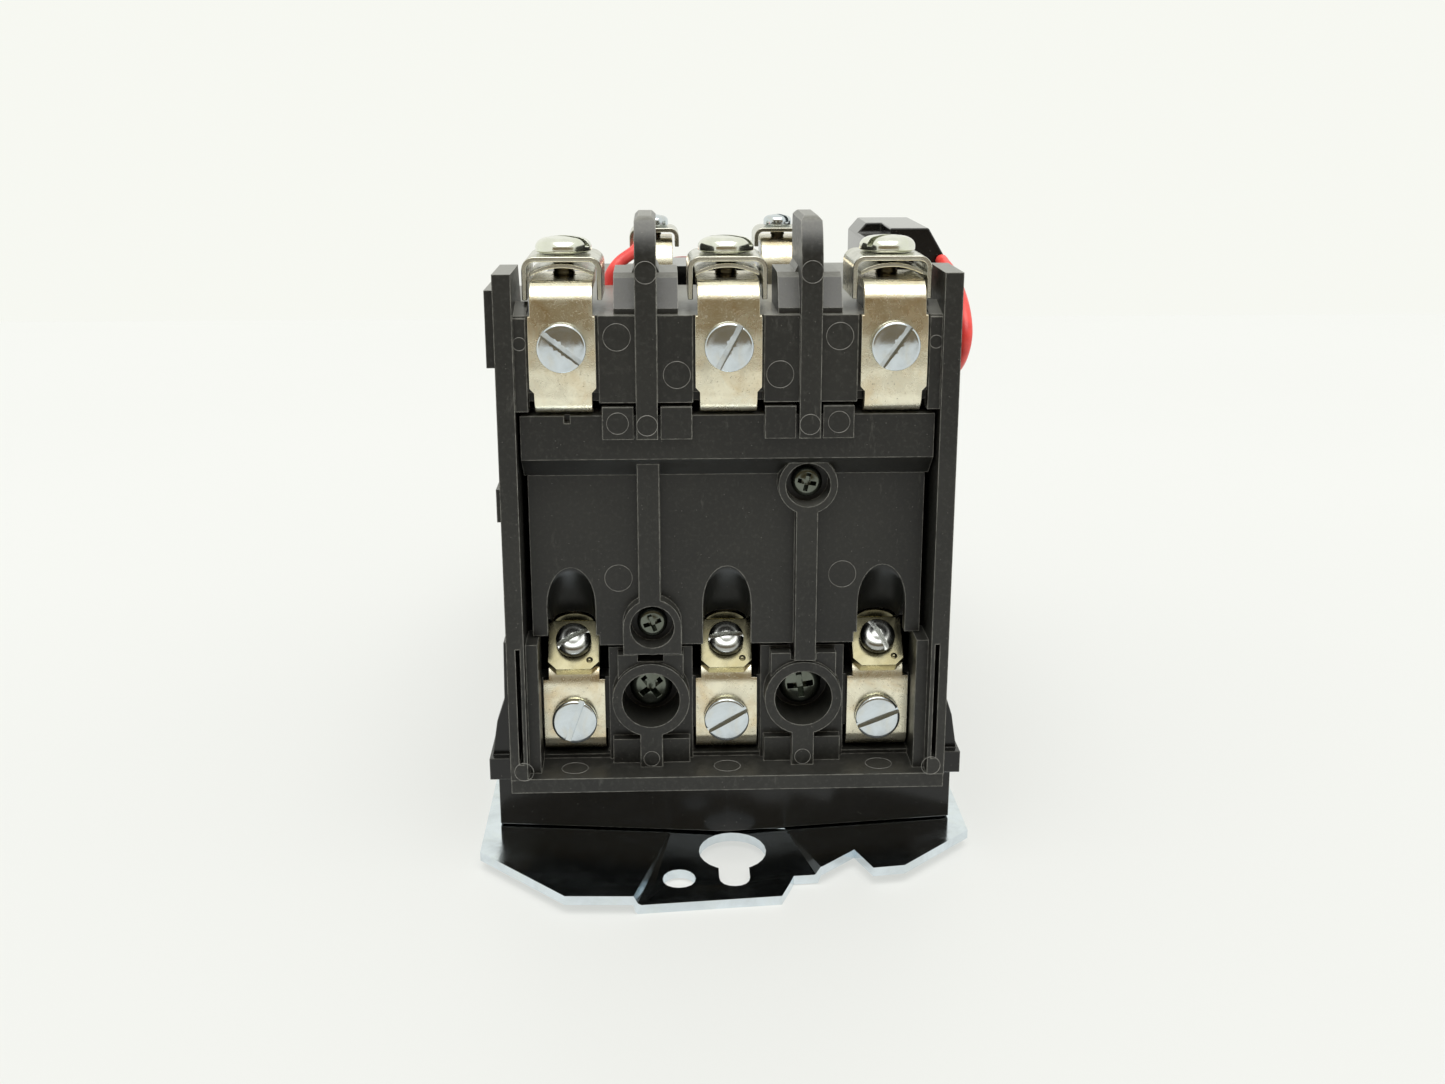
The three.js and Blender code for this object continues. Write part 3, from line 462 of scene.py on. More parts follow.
class Palette:
    """Every finish on the starter, each made into a material once."""

    MOULDED = Moulding("dark_moulding", "thermoset", (0.0115, 0.0113, 0.0095), (0.17, 0.168, 0.15),
                       0.36, 0.8, 0.45)
    BASE = Moulding("dark_moulding", "base_thermoset", (0.0045, 0.0045, 0.0042), (0.12, 0.12, 0.11),
                    0.2, 0.5, 0.02, 0.15)
    GUIDE = Moulding("dark_moulding", "guide_thermoset", (0.0125, 0.013, 0.012), (0.1, 0.1, 0.09),
                     0.33, 0.2, 0.03, 0.3)
    GLOSSY = Moulding("glossy_moulding", "black_nylon", (0.0040, 0.0040, 0.0040), (0.08, 0.08, 0.075),
                      0.13, 0.3, 0.03, 0.2)
    MARK = Moulding("dark_moulding", "pin_mark", (0.06, 0.059, 0.053), (0.2, 0.195, 0.18), 0.45, 0.6)
    PLATE = Plating("bluish_zinc", "bluish_zinc", (0.76, 0.83, 0.88), (0.70, 0.75, 0.66),
                    0.25, 0.08, 0.12, 0.0012)
    SCREW = Plating("zinc_screw", "zinc_screw", (0.66, 0.72, 0.76), (0.72, 0.69, 0.58),
                    0.65, 0.12, 0.16, 0.003)
    # Darkened steel: painted shade on the tilted load screws under the hoods.
    HOOD_SHADED_STEEL = Plating("zinc_screw", "steel_painted_hood_shade", (0.44, 0.45, 0.43), (0.30, 0.29, 0.24),
                    0.5, 0.25, 0.26, 0.004)
    PALE_SCREW = Plating("zinc_screw", "pale_chromate", (0.86, 0.87, 0.78), (0.72, 0.76, 0.55),
                         0.6, 0.15, 0.16, 0.005)
    # Dark head: painted shade and dark reflection of the wells the cross-recessed screws sit in.
    WELL_SHADED_SCREW = Plating("zinc_screw", "chromate_painted_well_shade", (0.15, 0.165, 0.14), (0.09, 0.095, 0.06),
                         0.6, 0.3, 0.2, 0.006)
    THREAD = Plating("zinc_screw", "oiled_thread", (0.16, 0.15, 0.12), (0.10, 0.08, 0.05),
                     0.5, 0.3, 0.38, 0.01)
    TIN = Plating("tinned_strap", "dull_tin", (0.87, 0.83, 0.66), (0.70, 0.55, 0.33), 0.65, 0.85, 0.25, 0.03)
    # Darkened olive: painted shade on the clamp plates and tabs that sit under the hoods.
    SHADED_CHROMATE = Plating("chromated_clamp", "chromated_zinc_painted_shade", (0.21, 0.195, 0.125), (0.17, 0.145, 0.07),
                       0.6, 0.35, 0.24, 0.008)
    CUT_EDGE = Plating("chromated_clamp", "chromated_edge", (0.66, 0.60, 0.36), (0.56, 0.48, 0.24),
                       0.5, 0.3, 0.3, 0.012)
    NICKEL = Plating("chromated_clamp", "nickel", (0.63, 0.62, 0.54), (0.50, 0.50, 0.37),
                     0.5, 0.35, 0.22, 0.008)
    SILVER = Plating("contact_silver", "contact_silver", (0.84, 0.82, 0.78), (0.60, 0.47, 0.32),
                     0.4, 0.35, 0.3, 0.01)
    COPPER = Plating("contact_silver", "bare_copper", (0.75, 0.42, 0.27), (0.45, 0.24, 0.13),
                     0.5, 0.2, 0.3, 0.01)
    SPRING = Plating("spring_wire", "spring_wire", (0.55, 0.56, 0.58), (0.36, 0.32, 0.26),
                     0.35, 0.3, 0.25, 0.01)
    IRON = Laminations("laminations", "laminations")
    RED = Insulation("red_insulation", "red_insulation", (0.84, 0.075, 0.06), (0.68, 0.045, 0.04), 0.36)
    RESET = Insulation("red_button", "reset_cap", (0.40, 0.045, 0.03), (0.26, 0.03, 0.02), 0.3)
    TAPE = Insulation("glossy_moulding", "coil_tape", (0.33, 0.24, 0.075), (0.2, 0.13, 0.04), 0.32)

    _made: dict[str, bpy.types.Material] = {}

    @classmethod
    def material(cls, finish: "Finish") -> bpy.types.Material:
        """Give a finish's material, made on first use.

        Args:
            finish: The finish.

        Returns:
            Its material.
        """
        if finish.name not in cls._made:
            cls._made[finish.name] = finish.material()
        return cls._made[finish.name]


Finish = Moulding | Plating | Insulation | Laminations


# ------------------------------------------------------------------ mesh work


def link(name: str, mesh: bpy.types.Mesh) -> bpy.types.Object:
    """Put a mesh in the scene.

    Args:
        name: The piece's name.
        mesh: Its mesh.

    Returns:
        The new object.
    """
    piece = bpy.data.objects.new(name, mesh)
    bpy.context.scene.collection.objects.link(piece)
    return piece


def from_faces(name: str, points: Iterable[Sequence[float]],
               faces: Iterable[Sequence[int]]) -> bpy.types.Object:
    """Make a piece from points in millimetres and faces.

    Args:
        name: The piece's name.
        points: Corner points.
        faces: Corner numbers of each face.

    Returns:
        The piece, with its faces turned outwards.
    """
    mesh = bpy.data.meshes.new(name)
    mesh.from_pydata([Vector(p) * MM for p in points], [], list(faces))
    work = bmesh.new()
    work.from_mesh(mesh)
    bmesh.ops.remove_doubles(work, verts=work.verts, dist=1e-7)
    bmesh.ops.recalc_face_normals(work, faces=work.faces)
    work.to_mesh(mesh)
    work.free()
    return link(name, mesh)


def block(name: str, low: Sequence[float], high: Sequence[float]) -> bpy.types.Object:
    """Make a rectangular block between two corners in millimetres.

    Args:
        name: The piece's name.
        low: Lowest corner.
        high: Highest corner.

    Returns:
        The block.
    """
    pair = (low, high)
    points = [(pair[i][0], pair[j][1], pair[k][2]) for i in (0, 1) for j in (0, 1) for k in (0, 1)]
    faces = [(0, 1, 3, 2), (4, 6, 7, 5), (0, 4, 5, 1), (2, 3, 7, 6), (0, 2, 6, 4), (1, 5, 7, 3)]
    return from_faces(name, points, faces)


def lathe(name: str, profile: Sequence[Pair], segments: int = 64) -> bpy.types.Object:
    """Turn a profile about the Z axis.

    Args:
        name: The piece's name.
        profile: Radius and height of each point, from axis to axis.
        segments: Steps round the axis.

    Returns:
        The turned piece.
    """
    points: list[tuple[float, float, float]] = []
    rings: list[list[int]] = []
    for radius, height in profile:
        if radius < 1e-6:
            rings.append([len(points)] * segments)
            points.append((0.0, 0.0, height))
            continue
        rings.append(list(range(len(points), len(points) + segments)))
        for step in range(segments):
            angle = 2.0 * math.pi * step / segments
            points.append((radius * math.cos(angle), radius * math.sin(angle), height))
    faces = []
    for low, high in zip(rings, rings[1:]):
        for step in range(segments):
            after = (step + 1) % segments
            corners = (low[step], low[after], high[after], high[step])
            faces.append(tuple(dict.fromkeys(corners)))
    return from_faces(name, points, [face for face in faces if len(face) > 2])


def extrude(name: str, outline: Sequence[Pair], low: float, high: float, axis: str = "x") -> bpy.types.Object:
    """Push a flat outline along an axis.

    Args:
        name: The piece's name.
        outline: Points across the axis, in the order of the other two axes.
        low: Start along the axis.
        high: End along the axis.
        axis: The axis, x, y or z.

    Returns:
        The pushed piece.
    """
    place: dict[str, Callable[[Pair, float], tuple[float, float, float]]] = {
        "x": lambda p, d: (d, p[0], p[1]),
        "y": lambda p, d: (p[0], d, p[1]),
        "z": lambda p, d: (p[0], p[1], d),
    }
    count = len(outline)
    points = [place[axis](p, depth) for depth in (low, high) for p in outline]
    faces = [tuple(range(count)), tuple(range(count, 2 * count))]
    faces += [(i, (i + 1) % count, count + (i + 1) % count, count + i) for i in range(count)]
    return from_faces(name, points, faces)


def smoothed(piece: bpy.types.Object) -> bpy.types.Object:
    """Shade every face of a piece smoothly, and give the piece back."""
    piece.data.polygons.foreach_set("use_smooth", [True] * len(piece.data.polygons))
    return piece


def settle(piece: bpy.types.Object) -> bpy.types.Object:
    """Apply a piece's modifiers to its mesh.

    Args:
        piece: The piece.

    Returns:
        The same piece.
    """
    bpy.context.view_layer.update()
    depsgraph = bpy.context.evaluated_depsgraph_get()
    mesh = bpy.data.meshes.new_from_object(piece.evaluated_get(depsgraph))
    piece.modifiers.clear()
    piece.data = mesh
    return piece


def combine(piece: bpy.types.Object, tools: Sequence[bpy.types.Object], operation: str) -> bpy.types.Object:
    """Join tools to a piece or cut them from it, and remove the tools.

    Args:
        piece: The piece.
        tools: The pieces to use up.
        operation: UNION or DIFFERENCE.

    Returns:
        The changed piece.
    """
    for tool in tools:
        modifier = piece.modifiers.new("join", "BOOLEAN")
        modifier.operation = operation
        modifier.solver = "EXACT"
        modifier.object = tool
    settle(piece)
    for tool in tools:
        bpy.data.objects.remove(tool)
    return piece


def rounded(piece: bpy.types.Object, width: float, segments: int = 2, angle: float = 28.0,
            smooth: float = 50.0) -> bpy.types.Object:
    """Round a piece's sharp edges and smooth its curved faces.

    Args:
        piece: The piece.
        width: Width of the rounding in millimetres.
        segments: Steps across it.
        angle: Least angle of an edge that is rounded, in degrees.
        smooth: Largest fold that is shaded as one curve, in degrees.

    Returns:
        The same piece.
    """
    bevel = piece.modifiers.new("round", "BEVEL")
    bevel.width = width * MM
    bevel.segments = segments
    bevel.limit_method = "ANGLE"
    bevel.angle_limit = math.radians(angle)
    bevel.use_clamp_overlap = True
    settle(piece)
    smoothed(piece).data.set_sharp_from_angle(angle=math.radians(smooth))
    normals = piece.modifiers.new("normals", "WEIGHTED_NORMAL")
    normals.keep_sharp = True
    return settle(piece)


def dress(piece: bpy.types.Object, finish: Finish, body: Body, *nodes: str) -> bpy.types.Object:
    """Give a piece its finish, its body and the CAD nodes that it stands for.

    Args:
        piece: The piece.
        finish: Its finish.
        body: The body it rides on.
        *nodes: CAD nodes that it replaces.

    Returns:
        The same piece.
    """
    piece.data.materials.clear()
    piece.data.materials.append(Palette.material(finish))
    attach(piece, body.value)
    if nodes:
        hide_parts(*nodes)
    return piece


def corners(node: str) -> tuple[Vector, Vector]:
    """Give a CAD node's lowest and highest corners in millimetres.

    Args:
        node: The node's name.

    Returns:
        The two corners.
    """
    low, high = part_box(node)
    return low / MM, high / MM


def middle(node: str) -> Vector:
    """Give the middle of a CAD node's box in millimetres."""
    low, high = corners(node)
    return (low + high) / 2.0


def bent_outline(route: Sequence[Pair], radii: Sequence[float], thickness: float,
                 steps: int = 10) -> list[Pair]:
    """Give the side outline of sheet metal bent along a route.

    Args:
        route: Corners of the sheet's middle line.
        radii: Bend radius at each inner corner.
        thickness: Thickness of the sheet.
        steps: Steps in each bend.

    Returns:
        The closed outline.
    """
    points = [Vector(p) for p in route]
    path = [points[0]]
    for before, corner, after, radius in zip(points, points[1:], points[2:], radii):
        back, ahead = (before - corner).normalized(), (after - corner).normalized()
        half = math.acos(max(-1.0, min(1.0, back.dot(ahead)))) / 2.0
        centre = corner + (back + ahead).normalized() * radius / math.sin(half)
        start = corner + back * radius / math.tan(half) - centre
        end = corner + ahead * radius / math.tan(half) - centre
        turn = math.atan2(start.x * end.y - start.y * end.x, start.dot(end))
        for step in range(steps + 1):
            path.append(centre + Matrix.Rotation(turn * step / steps, 2) @ start)
    path.append(points[-1])
    left, right = [], []
    for index, point in enumerate(path):
        along = (path[min(index + 1, len(path) - 1)] - path[max(index - 1, 0)]).normalized()
        normal = Vector((-along.y, along.x)) * thickness / 2.0
        left.append(tuple(point + normal))
        right.append(tuple(point - normal))
    return left + right[::-1]


def place(piece: bpy.types.Object, seat: Vector, facing: Facing = Facing.UP) -> bpy.types.Object:
    """Move a piece made about the origin to its seat, keeping its own origin there.

    Args:
        piece: The piece.
        seat: Where its origin goes, in millimetres.
        facing: The turn about X.

    Returns:
        The same piece.
    """
    turn = Matrix.Rotation(math.radians(facing.value), 4, "X")
    piece.matrix_world = Matrix.Translation(seat * MM) @ turn
    return piece


# ------------------------------------------------------------------ screws


@dataclass
class Screw:
    """A pan or domed screw with its recess.

    Attributes:
        node: The CAD node it stands for.
        head_radius: Radius of the head.
        head_height: Height of the head.
        rim: Height of the head's straight rim.
        shank_radius: Radius of the shank.
        shank_length: Length of the shank.
        drive: The recess in the head.
        turn: Turn of the recess in degrees.
        facing: The way the head faces.
        seat: Middle of the head's underside.
        finish: The screw's plating.
        crown: Rise of the top inside the round.
        in_cad: False for a screw that only the looks have.
    """

    node: str
    head_radius: float
    head_height: float
    rim: float
    shank_radius: float
    shank_length: float
    drive: Drive
    turn: float
    facing: Facing
    seat: Vector
    finish: Finish = Palette.SCREW
    crown: float = 0.2
    in_cad: bool = True

    def profile(self) -> list[Pair]:
        """Give the turned profile: a straight skirt, a full round at the rim and a low crown."""
        curve = self.head_height - self.rim
        crown = min(self.crown, 0.5 * curve)
        reach = min(1.25 * curve, 0.5 * self.head_radius)
        dome = []
        for step in range(10):
            angle = step / 9.0 * math.pi / 2.0
            dome.append((self.head_radius - reach * (1.0 - math.cos(angle)),
                         self.rim + (curve - crown) * math.sin(angle)))
        inner = self.head_radius - reach
        for step in range(1, 6):
            share = step / 5.0
            dome.append((inner * (1.0 - share), self.head_height - crown * (1.0 - share) ** 2))
        skirt = [(self.head_radius - 0.2, 0.0), (self.head_radius, 0.2)]
        return [(0.0, -0.15), (self.head_radius - 0.5, -0.15), (self.head_radius - 0.5, 0.0)] + skirt + dome

    def thread(self) -> list[Pair]:
        """Give the shank's turned profile, with a rounded thread."""
        profile = [(0.0, -self.shank_length)]
        count = int(self.shank_length / 0.8)
        for step in range(count):
            bottom = -self.shank_length + step * 0.8
            profile += [(self.shank_radius - 0.22, bottom), (self.shank_radius, bottom + 0.3),
                        (self.shank_radius, bottom + 0.45)]
        return profile + [(self.shank_radius - 0.2, -0.12), (self.shank_radius - 0.2, 0.1), (0.0, 0.1)]

    def recess(self) -> list[bpy.types.Object]:
        """Make the cutters for the slot or the cross."""
        top = self.head_height + 1.0
        if self.drive is Drive.SLOT:
            reach = self.head_radius + 1.0
            half = 0.1 * self.head_radius + 0.12
            return [block("slot", (-reach, -half, 0.34 * self.head_height), (reach, half, top))]
        reach = 0.66 * self.head_radius
        floor = 0.12 * self.head_height
        wings = []
        for quarter in range(2):
            half = 0.14 * self.head_radius
            outline = [(-reach, top), (-reach, self.head_height), (-0.45 * reach, floor),
                       (0.45 * reach, floor), (reach, self.head_height), (reach, top)]
            wing = extrude("wing", outline, -half, half, "y")
            wing.data.transform(Matrix.Rotation(quarter * math.pi / 2.0, 4, "Z"))
            wings.append(wing)
        return wings

    def build(self) -> bpy.types.Object:
        """Make the screw and put it on its seat.

        Returns:
            The finished piece.
        """
        shank = smoothed(lathe(self.node + "_shank", self.thread(), 32))
        place(shank, self.seat, self.facing)
        dress(shank, Palette.THREAD, Body.FRAME)
        piece = lathe(self.node + "_fine", self.profile())
        combine(piece, self.recess(), "DIFFERENCE")
        rounded(piece, 0.08, 2, 38.0)
        piece.data.transform(Matrix.Rotation(math.radians(self.turn), 4, "Z"))
        place(piece, self.seat, self.facing)
        return dress(piece, self.finish, Body.FRAME, *([self.node] if self.in_cad else []))


def seat_below(node: str, facing: Facing, head_height: float) -> Vector:
    """Find the underside of a screw's head from its node's box.

    Args:
        node: The screw's CAD node.
        facing: Up or towards the line end.
        head_height: Height of the head.

    Returns:
        The middle of the head's underside, in millimetres.
    """
    low, high = corners(node)
    centre = (low + high) / 2.0
    if facing is Facing.UP:
        return Vector((centre.x, centre.y, high.z - head_height))
    return Vector((centre.x, low.y + head_height, centre.z))


def strap_screw(node: str, turn: float) -> None:
    """Make one of the six screws that hold a strap to the contact board.

    Args:
        node: The screw's CAD node.
        turn: Turn of its slot in degrees.
    """
    head_height = 1.7
    Screw(node, 4.1, head_height, 1.15, 1.7, 7.0, Drive.SLOT, turn, Facing.LINE_END,
          seat_below(node, Facing.LINE_END, head_height)).build()


# ------------------------------------------------------------------ sub-assemblies


@dataclass(frozen=True)
class Shell:
    """How one moulding or sheet is finished.

    Attributes:
        finish: Its finish.
        body: The body it rides on.
        edge: Width of its rounded edges in millimetres.
        smooth: Largest fold that is shaded as one curve, in degrees.
        fold: Height of a fold on its near face that has a wide round, or none.
    """

    finish: Finish
    body: Body = Body.FRAME
    edge: float = 0.3
    smooth: float = 16.0
    fold: float | None = None


@dataclass
class Housings:
    """The mouldings and the plate, which keep their CAD shape with their edges rounded."""

    shells: dict[str, Shell] = field(default_factory=lambda: {
        "mounting_plate": Shell(Palette.PLATE, edge=0.25, smooth=8.0),
        "base_housing": Shell(Palette.BASE, edge=0.35, smooth=10.0),
        "contact_board": Shell(Palette.MOULDED, edge=0.32, fold=112.4),
        "arc_cover": Shell(Palette.MOULDED),
        "coil_cover": Shell(Palette.MOULDED, edge=0.5),
        "overload_housing": Shell(Palette.MOULDED, edge=0.45),
        "aux_contact_block": Shell(Palette.GLOSSY),
        "aux_plunger": Shell(Palette.GLOSSY, Body.AUX_SLIDER),
        "contact_carrier": Shell(Palette.GLOSSY, Body.CARRIER),
        "armature": Shell(Palette.IRON, Body.CARRIER, 0.15),
        "magnet_core": Shell(Palette.IRON, edge=0.15),
        "coil": Shell(Palette.GLOSSY),
    })

    def soften(self, node: str, source: bpy.types.Object, shell: Shell) -> None:
        """Make a CAD node's shape again with rounded edges.

        Args:
            node: The node's name.
            source: Its object in the frame.
            shell: How it is finished.
        """
        mesh = source.data.copy()
        work = bmesh.new()
        work.from_mesh(mesh)
        bmesh.ops.remove_doubles(work, verts=work.verts, dist=0.002 * MM)
        bmesh.ops.dissolve_limit(work, angle_limit=math.radians(0.6), verts=work.verts, edges=work.edges)
        if shell.fold is not None:
            near = min(vertex.co.y for vertex in work.verts)
            folds = [edge for edge in work.edges if all(
                abs(end.co.z / MM - shell.fold) < 0.1 and end.co.y - near < 0.1 * MM for end in edge.verts)]
            bmesh.ops.bevel(work, geom=folds, offset=3.2 * MM, offset_type="OFFSET", segments=8, profile=0.5,
                            affect="EDGES", clamp_overlap=True)
        work.to_mesh(mesh)
        work.free()
        if mesh.has_custom_normals:
            mesh.attributes.remove(mesh.attributes["custom_normal"])
        piece = link(node + "_fine", mesh)
        rounded(piece, shell.edge, 2, 24.0, shell.smooth)
        dress(piece, shell.finish, shell.body, node)
        LOG.info("softened %s", node)

    def build(self, nodes: dict[str, bpy.types.Object]) -> None:
        """Make and dress every housing.

        Args:
            nodes: The frame's objects by name.
        """
        for node, shell in self.shells.items():
            self.soften(node, nodes[node], shell)


@dataclass
class LineTerminals:
    """The three upper terminals: bent straps, saddle clamps, pressure plates and screws."""

    thickness: float = 1.6
    width: float = 11.2
    neck: float = 10.4
    radii: tuple[float, ...] = (3.0, 24.0, 24.0, 2.6, 2.0)
    terminal_turns: tuple[float, ...] = (-28.5, -27.0, 43.0)
    strap_turns: tuple[float, ...] = (-38.0, 62.0, 55.0)

    def strap(self, pole: int) -> None:
        """Make one strap from the terminal pad down into the arc chamber.

        Args:
            pole: Pole number.
        """
        node = f"line_strap_{pole}"
        low, high = corners(node)
        half = self.thickness / 2.0
        centre = middle(node).x
        contact_z = corners(f"bridge_contact_{pole}")[1].z - TIP_INSET
        pad, face = high.z - half, low.y + half
        route = [(low.y + 17.5, pad), (face + 0.9, pad), (face + 0.1, low.z + 27.5), (face, low.z + 21.5),
                 (face + 0.3, low.z + 14.7), (low.y + 19.2, low.z + 14.7), (low.y + 19.2, low.z)]
        outline = bent_outline(route, self.radii, self.thickness)
        piece = extrude(node + "_fine", outline, centre - self.width / 2.0, centre + self.width / 2.0)
        cutters = []
        for side in (-1.0, 1.0):
            for inner, y0, y1, z0, z1 in ((self.neck / 2.0, -3.0, 24.0, low.z + 30.5, high.z + 4.0),
                                          (self.neck / 2.0 - 0.6, 6.0, 26.0, low.z - 4.0, low.z + 20.0)):
                xs = sorted((centre + side * inner, centre + side * self.width))
                cutters.append(block("neck", (xs[0], low.y + y0, z0), (xs[1], low.y + y1, z1)))
            edge, taper = self.width / 2.0, low.z + 18.6
            outline = [(edge + 3.0, taper), (edge + 0.1, taper), (edge - 0.75, taper - 0.9),
                       (edge - 0.75, low.z - 4.0), (edge + 3.0, low.z - 4.0)]
            sides = [(centre + side * x, z) for x, z in outline]
            cutters.append(extrude("taper", sides, low.y - 3.0, low.y + 8.0, "y"))
        hole = lathe("hole", [(0, -4), (2.1, -4), (2.1, 4), (0, 4)], 32)
        hole.data.transform(Matrix.Translation(Vector((centre, low.y + 12.5, pad)) * MM))
        combine(piece, cutters + [hole], "DIFFERENCE")
        rounded(piece, 0.22, 2, 35.0)
        dress(piece, Palette.TIN, Body.FRAME, node)
        ContactTip(f"line_tip_{pole}", Vector((centre, high.y, contact_z)), 1.0, Body.FRAME).build()

    def saddle(self, pole: int) -> None:
        """Make one saddle clamp with rounded shoulders.

        Args:
            pole: Pole number.
        """
        node = f"line_saddle_{pole}"
        low, high = corners(node)
        sheet = 0.85
        centre, half = middle(node).x, (high.x - low.x) / 2.0
        top = high.z - sheet / 2.0
        side = half - sheet / 2.0
        route = [(centre - side, low.z), (centre - side, top), (centre + side, top), (centre + side, low.z)]
        outline = bent_outline(route, (1.7, 1.7), sheet, 8)
        piece = extrude(node + "_fine", outline, low.y, high.y, "y")
        rounded(piece, 0.16, 2, 35.0)
        dress(piece, Palette.NICKEL, Body.FRAME, node)

    def pressure_plate(self, pole: int) -> None:
        """Make one arched pressure plate, bowed up under its saddle.

        Args:
            pole: Pole number.
        """
        node = f"line_pressure_plate_{pole}"
        low, high = corners(node)
        centre, half = middle(node).x, (high.x - low.x) / 2.0
        rise = high.z - low.z - 0.75
        upper, lower = [], []
        for step in range(17):
            across = -1.0 + step / 8.0
            crown = rise * (1.0 - across * across)
            upper.append((centre + across * half, low.z + 0.72 + crown))
            lower.append((centre + across * half, low.z + crown))
        piece = extrude(node + "_fine", upper + lower[::-1], low.y, high.y, "y")
        rounded(piece, 0.14, 2, 35.0)
        dress(piece, Palette.NICKEL, Body.FRAME, node)

    def build(self) -> None:
        """Make all three terminals."""
        for index, pole in enumerate(POLES):
            self.strap(pole)
            self.saddle(pole)
            self.pressure_plate(pole)
            node = f"line_terminal_screw_{pole}"
            Screw(node, 4.8, 2.6, 0.75, 1.9, 8.0, Drive.SLOT, self.terminal_turns[index], Facing.UP,
                  seat_below(node, Facing.UP, 2.6), Palette.PALE_SCREW).build()
            strap_screw(f"line_strap_screw_{pole}", self.strap_turns[index])
            LOG.info("line terminal %d", pole)


@dataclass
class ContactTip:
    """A silver button riveted to a strap or a bridge.

    Attributes:
        name: The piece's name.
        face: Middle of the touching face.
        direction: 1 when it faces the load end, -1 when it faces the line end.
        body: The body it rides on.
    """

    name: str
    face: Vector
    direction: float
    body: Body

    def build(self) -> None:
        """Make the button, slightly crowned."""
        profile = [(0.0, -1.5), (3.0, -1.5), (3.0, -0.45), (2.8, -0.18), (2.2, -0.05), (0.0, 0.0)]
        piece = lathe(self.name, profile, 40)
        place(piece, self.face, Facing.LOAD_END if self.direction > 0 else Facing.LINE_END)
        rounded(piece, 0.08, 1, 50.0)
        dress(piece, Palette.SILVER, self.body)


